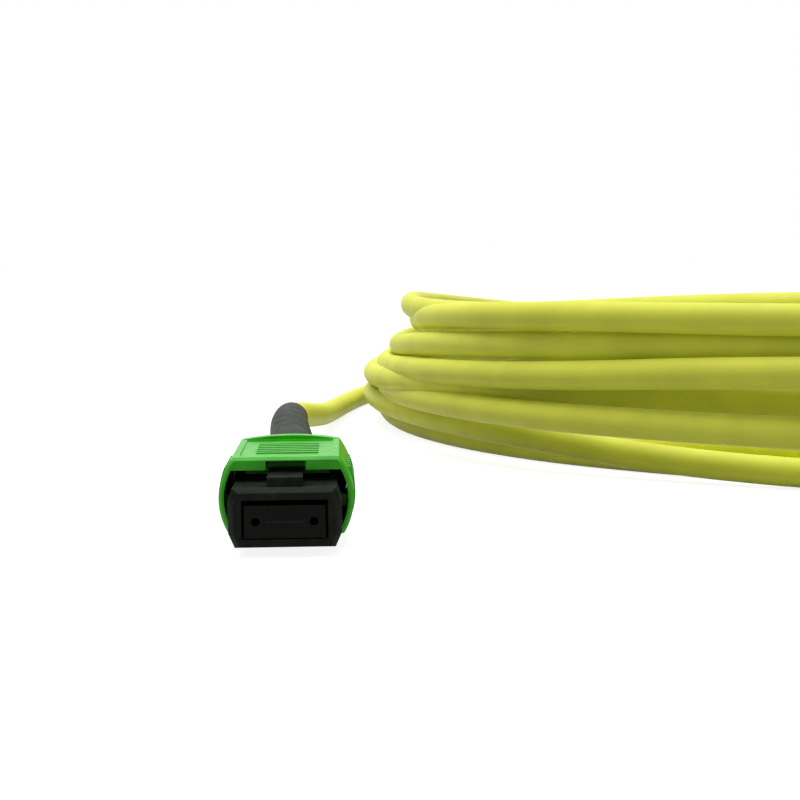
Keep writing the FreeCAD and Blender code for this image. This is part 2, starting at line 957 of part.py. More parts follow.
def make_coupling_grip(body):
    """Upright finger ribs on both flanks, made before the bore is cut."""
    centre = "coupling_centre_height"
    proud = "(coupling_radius + grip_rib_height)"
    foot = "(coupling_radius / 2)"
    rib = [
        (foot, "-grip_rib_under"),
        (chord(proud, centre, "-grip_rib_under"), "-grip_rib_under", proud),
        (chord(proud, centre, "grip_rib_top"), "grip_rib_top"),
        (foot, "grip_rib_top"),
    ]
    sketch = outline_sketch(body, "rib_outline", rib, "grip_rib_front")
    draw(sketch, mirror_corners(rib))
    rib_pad = grow(
        body,
        "PartDesign::Pad",
        "grip_rib",
        sketch,
        Reversed=True,
        formulas={"Length": "grip_rib_width"},
    )
    in_row(body, "grip_ribs", rib_pad, "Y_Axis", "grip_rib_count", "grip_rib_spacing")


def make_coupling_panel(body):
    """A shallow sunk panel on top with plain raised grip bars in it."""
    sunk = outline_sketch(
        body,
        "panel_outline",
        box_corners(
            "-panel_half_width",
            "panel_half_width",
            "panel_front",
            "panel_front + panel_length",
        ),
        "coupling_top - panel_depth",
        plane="XY_Plane",
    )
    grow(
        body,
        "PartDesign::Pocket",
        "panel",
        sunk,
        Reversed=True,
        formulas={"Length": "panel_depth * 2"},
    )
    bar = outline_sketch(
        body,
        "bar_outline",
        box_corners(
            "-panel_bar_length / 2",
            "panel_bar_length / 2",
            "panel_front + panel_bar_margin",
            "panel_front + panel_bar_margin + panel_bar_width",
        ),
        "coupling_top - panel_bar_root",
        plane="XY_Plane",
    )
    bar_pad = grow(
        body,
        "PartDesign::Pad",
        "bar",
        bar,
        formulas={"Length": "panel_bar_rise"},
    )
    in_row(body, "bars", bar_pad, "Y_Axis", "panel_bar_count", "panel_bar_spacing")


# ---------------------------------------------------------------- spring push, yarn and crimp ring


PUSH_FRONT = "(ferrule_length + keeper_length + ferrule_spring_length + 2 * spring_seat_gap)"
PUSH_HALF = "(shoulder_width / 2 + cavity_clearance - push_clearance)"
PUSH_TALL = "(shoulder_height / 2 + cavity_clearance - push_clearance)"
POST_START = "(plug_end + flange_length)"


def make_spring_push(end):
    """Snaps into the back of the plug, seats the ferrule spring and carries the crimp post."""
    body = end.body("spring_push")
    block = box_corners(f"-{PUSH_HALF}", PUSH_HALF, f"-{PUSH_TALL}", PUSH_TALL)
    pad(body, "block", block, PUSH_FRONT, f"plug_end - {PUSH_FRONT}")
    cut = "flange_corner"
    flange = octagon("flange_half_width", "flange_top", "flange_under", cut, cut, cut, cut)
    pad(body, "flange", flange, "plug_end", "flange_length")
    post = new_sketch(body, "post_circle", "XZ_Plane", f"{POST_START} - push_overlap")
    circle(post, "0", "0", "post_diameter / 2")
    grow(
        body,
        "PartDesign::Pad",
        "post",
        post,
        Reversed=True,
        formulas={"Length": "post_length + push_overlap"},
    )
    if end.detailed:
        make_barbs(body)
    wide, high = "push_channel_width / 2", "push_channel_height / 2"
    pocket(
        body,
        "ribbon_channel",
        box_corners(f"-{wide}", wide, f"-{high}", high),
        f"{PUSH_FRONT} - push_overlap",
        f"plug_end - {PUSH_FRONT} + push_overlap",
    )
    bore = new_sketch(body, "bore_circle", "XZ_Plane", "plug_end - push_overlap")
    circle(bore, "0", "0", "post_bore / 2")
    grow(
        body,
        "PartDesign::Pocket",
        "post_bore",
        bore,
        formulas={"Length": "flange_length + post_length + 2 * push_overlap"},
    )


def make_barbs(body):
    """The two snap barbs that catch in the plug's windows."""
    start = "(barb_window_start + (barb_window_length - barb_length) / 2)"
    stop = f"{start} + barb_length"
    crest = f"{start} + barb_length * barb_ramp_share"
    root, toe, top = f"{PUSH_TALL} - push_overlap", PUSH_TALL, f"{PUSH_TALL} + barb_rise"
    for side, name in (("", "top_barb"), ("-", "under_barb")):
        wedge = [(start, root), (stop, root), (stop, top), (crest, top), (start, toe)]
        corners = [(along, f"{side}({up})") for along, up in wedge]
        sketch = outline_sketch(body, f"{name}_outline", corners, plane="YZ_Plane")
        grow(
            body,
            "PartDesign::Pad",
            name,
            sketch,
            Midplane=True,
            formulas={"Length": "barb_width"},
        )


def turned(end, name, half_section):
    """A round piece on the connector's axis, from its section in the YZ plane."""
    body = end.body(name)
    sketch = outline_sketch(body, "section", half_section, plane="YZ_Plane")
    grow(
        body,
        "PartDesign::Revolution",
        "turned",
        sketch,
        ReferenceAxis=(plane_of(body, "Y_Axis"), [""]),
        Angle=360.0,
    )
    return body


YARN_INNER = "(post_diameter / 2 + layer_gap)"
YARN_OUTER = f"({YARN_INNER} + yarn_thickness)"
YARN_START = f"({POST_START} + yarn_setback)"
CRIMP_INNER = f"({YARN_OUTER} + layer_gap)"
CRIMP_OUTER = f"({CRIMP_INNER} + crimp_wall)"
CRIMP_STEP = f"({YARN_START} + crimp_length)"
NECK_START = f"({CRIMP_STEP} + crimp_cone_length)"
NECK_END = f"({NECK_START} + crimp_neck_length)"
NECK_INNER = "(cable_diameter / 2 + crimp_neck_gap)"
NECK_OUTER = f"({NECK_INNER} + crimp_wall)"


def make_strength_yarn(end):
    """The cable's strength yarn, folded back over the crimp post under the ring."""
    section = box_corners(YARN_START, f"{YARN_START} + yarn_length", YARN_INNER, YARN_OUTER)
    turned(end, "strength_yarn", section)


def make_crimp_ring(end):
    """Metal ring crimped over the yarn and the post, with a narrow neck round the cable's jacket."""
    if not end.detailed:
        turned(end, "crimp_ring", box_corners(YARN_START, CRIMP_STEP, CRIMP_INNER, CRIMP_OUTER))
        return
    inside = [(YARN_START, CRIMP_INNER), (CRIMP_STEP, CRIMP_INNER), (NECK_START, NECK_INNER)]
    outside = [(NECK_START, NECK_OUTER), (CRIMP_STEP, CRIMP_OUTER), (YARN_START, CRIMP_OUTER)]
    end_face = [(NECK_END, NECK_INNER), (NECK_END, NECK_OUTER)]
    turned(end, "crimp_ring", inside + end_face + outside)


def make_fibre_ribbon(end):
    """The fibres behind the ferrule: a flat ribbon that is gathered square to enter the cable."""
    flat = ("fibre_count * fibre_pitch", "ribbon_thickness")
    waist = ("ribbon_waist_width", "ribbon_waist_height")
    gathered = ("ribbon_gathered_width", "ribbon_gathered_width")
    stations = (
        ("ribbon_start", flat),
        ("ribbon_flat_end", flat),
        (POST_START, waist),
        ("ribbon_end", gathered),
    )
    sections = []
    for along, (wide, tall) in stations:
        across, up = number(wide) / 2, number(tall) / 2
        ring = [
            Vector(side * across, number(along), level * up)
            for side, level in ((-1, -1), (1, -1), (1, 1), (-1, 1))
        ]
        sections.append(Part.makePolygon(ring + [ring[0]]))
    end.feature("fibre_ribbon", Part.makeLoft(sections, True, True))


# ---------------------------------------------------------------- cable, boot and coil


def rest_height():
    """Height of the cable's centre line where it lies on the surface."""
    return number("cable_diameter / 2 - coupling_under + rest_gap")


def near_route():
    """The cable's way from the crimp ring, up through the boot and down beside the coil."""
    return [
        Vector(0, number("cable_start"), 0),
        Vector(0, number("lead_bend_along"), 0),
        Vector(number("lead_rise_across"), number("lead_rise_along"), number("lead_rise_up")),
        Vector(number("lead_fall_across"), number("lead_fall_along"), number("lead_fall_up")),
        Vector(number("lead_end_across"), number("lead_end_along"), rest_height()),
    ]


def far_route():
    """The same from the far connector, in its own frame, straight to the inside of the coil."""
    return [Vector(0, number("cable_start"), 0), Vector(0, number("far_lead_end_along"), 0)]


def rounded(points, label):
    """Straight runs joined by tangent arcs, each as large as its two runs allow."""
    edges = []
    radii = []
    last = points[0]
    for before, corner, after in zip(points, points[1:], points[2:]):
        into, out = (corner - before), (after - corner)
        shorter = min(into.Length, out.Length)
        turn = into.getAngle(out)
        reach = 0.45 * shorter
        radii.append(reach / math.tan(turn / 2))
        start = corner - into.normalize() * reach
        finish = corner + out.normalize() * reach
        inward = ((start + finish) * 0.5 - corner).normalize()
        bow = corner + inward * (radii[-1] / math.cos(turn / 2) - radii[-1])
        edges.append(Part.LineSegment(last, start).toShape())
        edges.append(Part.Arc(start, bow, finish).toShape())
        last = finish
    edges.append(Part.LineSegment(last, points[-1]).toShape())
    print(f"{label}: arc radii", [round(radius, 1) for radius in radii])
    return edges


def tube(edges, radius):
    """A round tube along the edges."""
    path = Part.Wire(edges)
    start = edges[0].Vertexes[0].Point
    section = Part.Wire(Part.makeCircle(radius, start, edges[0].tangentAt(edges[0].FirstParameter)))
    solid = path.makePipeShell([section], True, True)
    share = solid.Volume / (math.pi * radius * radius * path.Length)
    if abs(share - 1) > 0.01:
        raise RuntimeError(f"the tube holds {share:.3f} of its section times its length")
    return solid


def span(first, last):
    """A round solid between two rings, each given as (centre, way, radius)."""
    (centre, way, radius), (beyond, onward, after) = first, last
    length = (beyond - centre).Length
    if way.getAngle(onward) > 1e-6:
        rings = [Part.Wire(Part.makeCircle(size, spot, line)) for spot, line, size in (first, last)]
        return Part.makeLoft(rings, True, True)
    if abs(radius - after) < 1e-6:
        return Part.makeCylinder(radius, length, centre, way)
    return Part.makeCone(radius, after, length, centre, way)


def sleeve(edges, rings, stop, width, tip_length, tip_width):
    """A round solid: straight rings, given as (station, radius), then round the cable to a tapered tip.

    It follows the cable's first bend, if it has one.
    """
    level = Vector(0, 1, 0)
    rings = [(level * station, level, radius) for station, radius in rings]
    tip, climb = level * stop, level
    if len(edges) > 1:
        bend, rise = edges[1], edges[2]
        climb = rise.tangentAt(rise.FirstParameter)
        bend_end = bend.Vertexes[-1].Point
        halfway = (bend.FirstParameter + bend.LastParameter) / 2
        rings += [
            (bend.Vertexes[0].Point, level, width),
            (bend.valueAt(halfway), bend.tangentAt(halfway), width),
            (bend_end, climb, width),
        ]
        tip = bend_end + climb * ((stop - bend_end.y) / climb.y)
    elif tip_width < width:
        rings.append((tip - climb * tip_length, climb, width))
    rings.append((tip, climb, tip_width))
    spans = [span(first, last) for first, last in zip(rings, rings[1:])]
    return spans[0].fuse(spans[1:]) if len(spans) > 1 else spans[0]


def make_boot(end, edges):
    """Bend-limiting boot: a collar over the crimp ring, then a tapered sleeve that follows the cable."""
    start = number("coupling_front + coupling_length + coupling_travel + boot_run_clearance")
    stop, base, waist = number("boot_end"), number("boot_base_radius"), number("boot_bend_radius")
    narrow, tip_length = number("boot_tip_radius"), number("boot_tip_length")
    shoulder = number("boot_shoulder_length")
    collar_length = number("boot_collar_length")
    gap = number("boot_clearance")
    ring_end, neck_end = number(CRIMP_STEP), number(NECK_END)
    ring_room, neck_room = number(CRIMP_OUTER) + gap, number(NECK_OUTER) + gap
    bore = number("cable_diameter") / 2 + gap

    def straight(radius, first, last):
        return Part.makeCylinder(radius, last - first, Vector(0, first, 0), Vector(0, 1, 0))

    rings = [(ring_end, base), (ring_end + shoulder, waist)]
    outside = sleeve(edges, rings, stop, waist, tip_length, narrow)
    barrel_part = straight(base, start, ring_end)
    collar = straight(number("boot_collar_radius"), start, start + collar_length)
    inside = [
        straight(ring_room, start - collar_length, number(NECK_START)),
        straight(neck_room, ring_end, neck_end + gap),
        sleeve(edges, [(neck_end, bore)], stop + collar_length, bore, tip_length, bore),
    ]
    end.feature("boot", outside.fuse([barrel_part, collar]).removeSplitter().cut(inside))


def oval(shrink, slump="0"):
    """An oval of four tangent arcs, anticlockwise from the lower left.

    Its rim is moved in by shrink and its middle forward by slump.
    """
    across, along = f"(coil_outer_across - {shrink})", f"(coil_outer_along - {shrink})"
    tight = f"(coil_end_radius - {shrink})"
    lift = f"({along} - {tight})"
    wide = f"((({across})^2 + ({lift})^2 - ({tight})^2) / (2 * ({across} - {tight})))"
    half = f"({tight} * ({wide} - {across}) / ({wide} - {tight}))"
    tall = f"({lift} + {tight} * {lift} / ({wide} - {tight}))"
    left, right = f"coil_centre_across - {half}", f"coil_centre_across + {half}"
    middle = f"coil_centre_along - {slump}"
    low, high = f"{middle} - {tall}", f"{middle} + {tall}"
    return [(left, low, tight), (right, low, wide), (right, high, tight), (left, high, wide)]


def make_coil(end):
    """The outer shape of the wound turns: a low ring, and the pile that has slumped forward on it.

    The pile is lower at the back.
    """
    body = end.body("cable_coil")
    ground = "(rest_gap - coupling_under)"
    pile = f"({ground} + coil_low_height - coil_slump_overlap)"
    top = f"({ground} + coil_height)"
    for name, slump, base, height in (
        ("low", "0", ground, "coil_low_height"),
        ("pile", "coil_slump", pile, f"{top} - {pile}"),
    ):
        ring = outline_sketch(body, f"{name}_outline", oval("0", slump), base, "XY_Plane")
        draw(ring, oval("coil_band", slump))
        grow(body, "PartDesign::Pad", name, ring, formulas={"Length": height})
    front = "(coil_centre_along - coil_slump - coil_outer_along)"
    back = "(coil_centre_along - coil_slump + coil_outer_along)"
    wedge = [
        (front, top),
        (back, f"{top} - coil_back_drop"),
        (back, f"{top} + coil_back_drop"),
        (front, f"{top} + coil_back_drop"),
    ]
    sketch = outline_sketch(body, "slope_outline", wedge, plane="YZ_Plane")
    reach = "(coil_centre_across + coil_outer_across + coil_band)"
    grow(
        body,
        "PartDesign::Pocket",
        "slope",
        sketch,
        Midplane=True,
        formulas={"Length": f"2 * {reach}"},
    )


def make_leads(near, far):
    """The stretches of cable between each connector and the coil, and the boots round them."""
    radius = number("cable_diameter") / 2
    for end, route in ((near, near_route()), (far, far_route())):
        edges = rounded(route, end.prefix + "cable_lead")
        end.feature("cable_lead", tube(edges, radius))
        make_boot(end, edges)


# ---------------------------------------------------------------- assembly


def make_shell_pieces(end):
    """What shows of a connector, and what its moving pieces need."""
    make_inner_housing(end)
    make_coupling(end)
    make_spring_push(end)
    make_crimp_ring(end)


near_end = Connector("", FreeCAD.Placement(), True)
far_end = Connector("far_", far_frame(), False)

make_fibre_bores(make_ferrule(near_end))
make_fibres(near_end)
make_ferrule_boot(near_end)
make_pin_keeper(near_end)
make_ferrule_spring(near_end)
make_fibre_ribbon(near_end)
make_strength_yarn(near_end)
make_coupling_springs(near_end)
make_shell_pieces(near_end)

make_ferrule(far_end)
make_shell_pieces(far_end)

make_coil(near_end)
make_leads(near_end, far_end)

# ---------------------------------------------------------------- checks and files

PIECES = [
    item
    for item in doc.Objects
    if item.TypeId in ("PartDesign::Body", "Part::Feature")
]


def check_and_write():
    """Stop on any failed object, then write one STEP file for each piece."""
    doc.recompute()
    for item in doc.Objects:
        if {"Invalid", "Error"} & set(item.State):
            raise RuntimeError(f"{item.Name} is {item.State}")
    os.makedirs("parts", exist_ok=True)
    for piece in PIECES:
        shape = piece.Shape
        if shape.isNull() or not shape.isValid():
            raise RuntimeError(f"{piece.Label} has no valid shape")
        shape.exportStep(f"parts/{piece.Label}.step")
        print(f"{piece.Label}: {len(shape.Solids)} solid(s), {shape.Volume:.3f} mm3")


check_and_write()
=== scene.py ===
"""Dresses a multi-fibre push-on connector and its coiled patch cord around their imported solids."""

import math

import bmesh
import bpy
from bpy.props import FloatProperty, FloatVectorProperty, IntProperty, PointerProperty
from mathutils import Matrix, Vector


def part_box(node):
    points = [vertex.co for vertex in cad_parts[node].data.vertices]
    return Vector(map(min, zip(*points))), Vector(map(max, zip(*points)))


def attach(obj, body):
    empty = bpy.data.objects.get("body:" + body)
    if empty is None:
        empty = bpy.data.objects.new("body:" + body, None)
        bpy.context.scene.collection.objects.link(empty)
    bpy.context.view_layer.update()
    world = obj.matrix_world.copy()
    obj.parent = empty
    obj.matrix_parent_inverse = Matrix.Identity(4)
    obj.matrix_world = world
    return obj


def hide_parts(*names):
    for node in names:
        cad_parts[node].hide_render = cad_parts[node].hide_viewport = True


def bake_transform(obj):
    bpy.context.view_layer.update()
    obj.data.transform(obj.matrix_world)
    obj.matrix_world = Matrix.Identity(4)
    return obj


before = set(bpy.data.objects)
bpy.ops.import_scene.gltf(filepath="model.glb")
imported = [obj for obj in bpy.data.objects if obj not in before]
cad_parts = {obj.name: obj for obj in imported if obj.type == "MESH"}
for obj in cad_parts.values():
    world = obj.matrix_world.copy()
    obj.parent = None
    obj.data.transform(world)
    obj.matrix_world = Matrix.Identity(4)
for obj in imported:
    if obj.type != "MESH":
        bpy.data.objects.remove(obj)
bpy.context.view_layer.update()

bl_info = {
    "name": "Fibre Connector Dressing",
    "version": (1, 0, 0),
    "blender": (4, 5, 0),
    "location": "3D View > Sidebar > Fibre Connector",
    "description": "Finishes a multi-fibre push-on connector and its coiled patch cord",
    "category": "Object",
}

MM = 0.001

# height of the floor that the coupling's flat underside lies on
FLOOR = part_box("coupling")[0].z

# where the far connector's ferrule face is, in millimetres, and which way it is turned
FAR_PLACE = (65.7, 153.3, 0.0)
FAR_TURN = math.radians(133.8)

# each connector's own frame, by what its nodes' names start with
ENDS = {
    "": Matrix.Identity(4),
    "far_": Matrix.Translation(Vector(FAR_PLACE) * MM) @ Matrix.Rotation(FAR_TURN, 4, "Z"),
}

# how far behind the ferrule's face the boot's skin starts, in millimetres
BOOT_FRONT = 20.8

# corners of the cable's way to the coil, from each connector's own ferrule face, in millimetres
NEAR_ROUTE = [
    (0, 26.4, 0),
    (0, 36.5, 0),
    (-1.7, 53, 3.4),
    (1.3, 71, 1.4),
    (2.6, 97, -0.9),
    (6.3, 124, -1.36),
]
FAR_ROUTE = [
    (0, 26.4, 0),
    (0, 66.5, 0),
]

# height of the cable's middle where it lies on the floor, in millimetres
RESTING = -1.36

# how each turn lies, in millimetres: its height at the back, at the front right, at the front left
# and at the left end, how far it slumps forward at those last three, and how far in it lies there
TURNS = [
    ((RESTING, RESTING, RESTING, RESTING), (0, 0, 0), (3.2, 0.2, 3.2)),
    ((0.3, RESTING, 1.3, 1.3), (0, 9, 11), (0, 0, 0.6)),
    ((1.9, 4.7, 4.2, 2.9), (20, 20, 16), (0, 0, 2.6)),
    ((3.6, 6.9, 6.3, 4.5), (14, 15, 17), (0, 0, 0.5)),
    ((5.2, 10.4, 8.0, 6.0), (21, 20, 18), (0, 0, 2.6)),
    ((6.9, 12.4, 11.3, 8.6), (17, 18, 19), (0, 0, 4.5)),
    ((8.5, 14.8, 14.7, 12.0), (19.5, 20, 20), (0, 0, 7.9)),
    ((10.2, 15.9, 14.0, 14.8), (13, 12, 18), (0, 0, 6.5)),
    ((8.0, 1.0, -1.2, RESTING), (8, 8, 8), (9, 11, 9.5)),
]

# the left end where a turn starts and the four places above, in degrees round the turn
STATIONS = (0, 90, 300, 330, 360)

# where the first turn takes over from the near connector's lead and the last one gives way to the
# far connector's, in degrees round the turn
COIL_STARTS, COIL_ENDS = 15, 330

# how far in every second turn lies at the back, in millimetres
BACK_INSET = 2.8

# the boot's skin out to its tip and back inside, in millimetres: how far from the boot's front and
# how far from the cable's middle
BOOT_PROFILE = [
    (0.0, 2.52),
    (0.1, 2.7),
    (0.35, 2.8),
    (1.3, 2.8),
    (1.55, 2.72),
    (1.8, 2.66),
    (4.0, 2.65),
    (6.0, 2.6),
    (8.5, 2.45),
    (12.0, 2.4),
    (18.0, 2.36),
    (24.0, 2.24),
    (29.0, 2.08),
    (32.0, 1.95),
    (33.4, 1.87),
    (34.0, 1.76),
    (34.2, 1.62),
    (34.0, 1.56),
    (30.0, 1.58),
    (20.0, 1.6),
    (9.4, 1.62),
    (9.2, 2.0),
    (5.6, 2.0),
    (5.4, 2.4),
    (0.2, 2.42),
]

# corners closer than this are one, in metres, faces that turn by less than this are one flat face,
# and edges that turn by more than this are sharp
SAME_CORNER = 0.000001
FLAT = math.radians(0.6)
SHARP = math.radians(38)

# how far the floor reaches, in metres, how much light it sends on to the piece, and how much light
# and glow of its own it shows
FLOOR_REACH = 8.0
FLOOR_SENDS = 0.4
FLOOR_SHOWS = 0.42
FLOOR_GLOWS = 0.87

# how bright the room in front is beside the white backdrop, and between which directions it turns
# white, each given as how far back it points plus how far up
ROOM_BRIGHTNESS = 0.16
ROOM_EDGES = (-0.6, 0.5)

# ---------------------------------------------------------------- settings


class StageSettings(bpy.types.PropertyGroup):
    """Where the camera stands and how the light falls."""

    camera_place: FloatVectorProperty(
        name="Camera Place",
        description="Where the lens stands, from the ferrule's end face",
        default=(0.00452, -0.11966, 0.02014),
        subtype="TRANSLATION",
        unit="LENGTH",
    )
    camera_yaw: FloatProperty(
        name="Camera Yaw",
        description="How far the view turns to the right of the connector's axis",
        default=math.radians(2.22),
        subtype="ANGLE",
    )
    camera_pitch: FloatProperty(
        name="Camera Pitch",
        description="How far the view tips down",
        default=math.radians(5.08),
        subtype="ANGLE",
    )
    camera_roll: FloatProperty(
        name="Camera Roll",
        description="How far the camera leans to its right",
        default=math.radians(0.54),
        subtype="ANGLE",
    )
    lens: FloatProperty(
        name="Lens",
        description="Focal length over a 36 mm wide sensor",
        default=69.12,
        subtype="DISTANCE_CAMERA",
    )
    overhead: FloatProperty(
        name="Overhead Light",
        description="Strength of the broad light from above",
        default=2.5,
        min=0.0,
    )
    surround: FloatProperty(
        name="Surround",
        description="Strength of the even light from all round",
        default=0.36,
        min=0.0,
    )
    light_tilt: FloatVectorProperty(
        name="Light Tilt",
        description="How the light from above is turned about X, Y and Z",
        subtype="EULER",
        default=(math.radians(-10), math.radians(-8), 0.0),
    )
    light_spread: FloatProperty(
        name="Light Spread",
        description="How broad the light from above is, as an angle",
        default=math.radians(50),
        subtype="ANGLE",
    )


class CableSettings(bpy.types.PropertyGroup):
    """The cable and the way its coil is wound."""

    diameter: FloatProperty(
        name="Cable Diameter",
        description="Outside of the round jacket",
        default=0.003,
        unit="LENGTH",
    )
    centre: FloatVectorProperty(
        name="Coil Centre",
        description="Middle of the coil's lowest turn",
        size=2,
        default=(0.0894, 0.1158),
        unit="LENGTH",
    )
    half_size: FloatVectorProperty(
        name="Coil Half Size",
        description="Half the outer width and length of the lowest turn",
        size=2,
        default=(0.082, 0.097),
        unit="LENGTH",
    )
    points_per_turn: IntProperty(
        name="Points per Turn",
        description="Control points in one turn of the coil",
        default=20,
        min=12,
    )
    jacket: FloatVectorProperty(
        name="Jacket Colour",
        description="Colour of the outer jacket",
        subtype="COLOR",
        default=(0.80, 0.83, 0.09),
    )


class ShellSettings(bpy.types.PropertyGroup):
    """The moulded shells, the boot and how their edges are broken."""

    edge: FloatProperty(
        name="Edge Radius",
        description="How far the shells' sharp edges are rounded",
        default=0.00007,
        unit="LENGTH",
    )
    fine_edge: FloatProperty(
        name="Fine Edge Radius",
        description="The same on the ferrule and the pieces round it",
        default=0.00003,
        unit="LENGTH",
    )
    boot_sides: IntProperty(
        name="Boot Sides",
        description="Faces round the boot",
        default=56,
        min=12,
    )
    green: FloatVectorProperty(
        name="Coupling Colour",
        description="Colour of the sliding coupling",
        subtype="COLOR",
        default=(0.05, 0.50, 0.012),
    )
    black: FloatVectorProperty(
        name="Housing Colour",
        description="Colour of the inner housing and the spring push",
        subtype="COLOR",
        default=(0.0115, 0.015, 0.01),
    )
    boot: FloatVectorProperty(
        name="Boot Colour",
        description="Colour of the rubber boot",
        subtype="COLOR",
        default=(0.024, 0.031, 0.023),
    )


class InnerSettings(bpy.types.PropertyGroup):
    """The springs and the fibres behind the ferrule."""

    coupling_turns: FloatProperty(
        name="Coupling Spring Turns",
        description="Turns in each of the two small springs beside the plug",
        default=7.0,
        min=2.0,
    )
    ferrule_turns: FloatProperty(
        name="Ferrule Spring Turns",
        description="Turns in the oval spring behind the ferrule",
        default=5.0,
        min=2.0,
    )
    coupling_wire: FloatProperty(
        name="Coupling Spring Wire",
        description="Thickness of the small springs' wire",
        default=0.00018,
        unit="LENGTH",
    )
    ferrule_wire: FloatProperty(
        name="Ferrule Spring Wire",
        description="Thickness of the oval spring's wire",
        default=0.00032,
        unit="LENGTH",
    )
    fibre_count: IntProperty(
        name="Fibre Count",
        description="Fibres side by side in the ribbon",
        default=12,
        min=2,
    )
    fibre_pitch: FloatProperty(
        name="Fibre Pitch",
        description="Distance between neighbouring fibres in the ribbon",
        default=0.00025,
        unit="LENGTH",
    )
    fibre_thickness: FloatProperty(
        name="Fibre Thickness",
        description="Thickness of one fibre with its coating",
        default=0.00022,
        unit="LENGTH",
    )
    bundle_radius: FloatProperty(
        name="Bundle Radius",
        description="Radius of the ring that the fibres gather into at the cable",
        default=0.0005,
        unit="LENGTH",
    )
    flat_share: FloatProperty(
        name="Flat Share",
        description="How much of the fibres' way they lie flat before they gather",
        default=0.42,
        min=0.0,
        max=0.99,
        subtype="FACTOR",
    )


# ---------------------------------------------------------------- finishes


class Finish:
    """One material: a principled shader and the nodes that give its surface its detail."""

    def __init__(self, name, **values):
        self.material = bpy.data.materials.new(name)
        self.material.use_nodes = True
        self.nodes = self.material.node_tree.nodes
        self.links = self.material.node_tree.links
        self.shader = self.nodes["Principled BSDF"]
        for socket, value in values.items():
            self.shader.inputs[socket.replace("_", " ")].default_value = value
        self.place = self.nodes.new("ShaderNodeTexCoord").outputs["Object"]
        self.height = None

    def noise(self, size, detail=3.0, stretch=(1.0, 1.0, 1.0)):
        """A cloudy pattern whose patches are about this many metres across."""
        mapping = self.nodes.new("ShaderNodeMapping")
        mapping.inputs["Scale"].default_value = stretch
        pattern = self.nodes.new("ShaderNodeTexNoise")
        pattern.inputs["Scale"].default_value = 1 / size
        pattern.inputs["Detail"].default_value = detail
        self.links.new(self.place, mapping.inputs["Vector"])
        self.links.new(mapping.outputs["Vector"], pattern.inputs["Vector"])
        return pattern.outputs["Fac"]

    def spread(self, value, low, high, start=0.3, end=0.7):
        """The value between start and end, spread over low to high."""
        span = self.nodes.new("ShaderNodeMapRange")
        for socket, amount in (
            ("From Min", start),
            ("From Max", end),
            ("To Min", low),
            ("To Max", high),
        ):
            span.inputs[socket].default_value = amount
        self.links.new(value, span.inputs["Value"])
        return span.outputs["Result"]

    def tint(self, value, stops, constant=False):
        """The colour that the value picks from the stops, given as (position, colour)."""
        ramp = self.nodes.new("ShaderNodeValToRGB")
        if constant:
            ramp.color_ramp.interpolation = "CONSTANT"
        keys = ramp.color_ramp.elements
        while len(keys) < len(stops):
            keys.new(1.0)
        for key, (position, colour) in zip(keys, stops):
            key.position = position
            key.color = (*colour, 1.0)
        self.links.new(value, ramp.inputs["Fac"])
        return ramp.outputs["Color"]

    def colour(self, source):
        self.links.new(source, self.shader.inputs["Base Color"])

    def mottle(self, base, size, depth):
        """Base colour that wanders a little darker and lighter."""
        dark = [part * (1 - depth) for part in base]
        light = [min(part * (1 + depth), 1.0) for part in base]
        self.colour(self.tint(self.noise(size), [(0.35, dark), (0.65, light)]))

    def roughness(self, low, high, size, stretch=(1.0, 1.0, 1.0)):
        patches = self.spread(self.noise(size, 4.0, stretch), low, high)
        self.links.new(patches, self.shader.inputs["Roughness"])

    def grain(self, size, depth, detail=2.0, stretch=(1.0, 1.0, 1.0)):
        """Surface relief this many metres deep, laid over any that is there already."""
        bump = self.nodes.new("ShaderNodeBump")
        bump.inputs["Distance"].default_value = depth
        self.links.new(self.noise(size, detail, stretch), bump.inputs["Height"])
        if self.height:
            self.links.new(self.height, bump.inputs["Normal"])
        self.height = bump.outputs["Normal"]
        self.links.new(self.height, self.shader.inputs["Normal"])


def moulded_green(shell):
    """Satin green plastic with a fine moulded grain and soft sink marks."""
    made = Finish("moulded_green", Specular_IOR_Level=0.22)
    made.mottle(shell.green, 0.0021, 0.10)
    made.roughness(0.27, 0.42, 0.0006)
    made.grain(0.00011, 0.0000035)
    made.grain(0.0016, 0.000012, 1.0)
    return made.material


def moulded_black(shell):
    """Satin black plastic with a faint moulded grain and softly worn patches."""
    made = Finish("moulded_black", Specular_IOR_Level=0.05)
    made.mottle(shell.black, 0.0012, 0.35)
    made.roughness(0.3, 0.46, 0.0004)
    made.grain(0.00009, 0.000003)
    return made.material


def moulded_resin():
    """Glass-filled dark resin, ground and polished on its end face."""
    made = Finish("moulded_resin", Specular_IOR_Level=0.12)
    made.mottle((0.011, 0.0125, 0.0105), 0.00008, 0.3)
    apart = made.nodes.new("ShaderNodeSeparateXYZ")
    made.links.new(made.place, apart.inputs["Vector"])
    polish = made.spread(apart.outputs["Y"], 0.17, 0.5, 0.0002, 0.0004)
    made.links.new(polish, made.shader.inputs["Roughness"])
    made.grain(0.00005, 0.0000015)
    return made.material


def plain_resin():
    """The same resin where it isn't polished."""
    made = Finish("plain_resin", Specular_IOR_Level=0.35)
    made.mottle((0.011, 0.0115, 0.011), 0.00008, 0.5)
    made.roughness(0.4, 0.55, 0.0005)
    made.grain(0.00005, 0.0000015)
    return made.material


def polished_glass():
    """Ends of the glass fibres, polished flush with the ferrule and dark from the front."""
    made = Finish("polished_glass", Roughness=0.08, IOR=1.46, Specular_IOR_Level=0.12)
    made.mottle((0.014, 0.015, 0.016), 0.00006, 0.4)
    return made.material


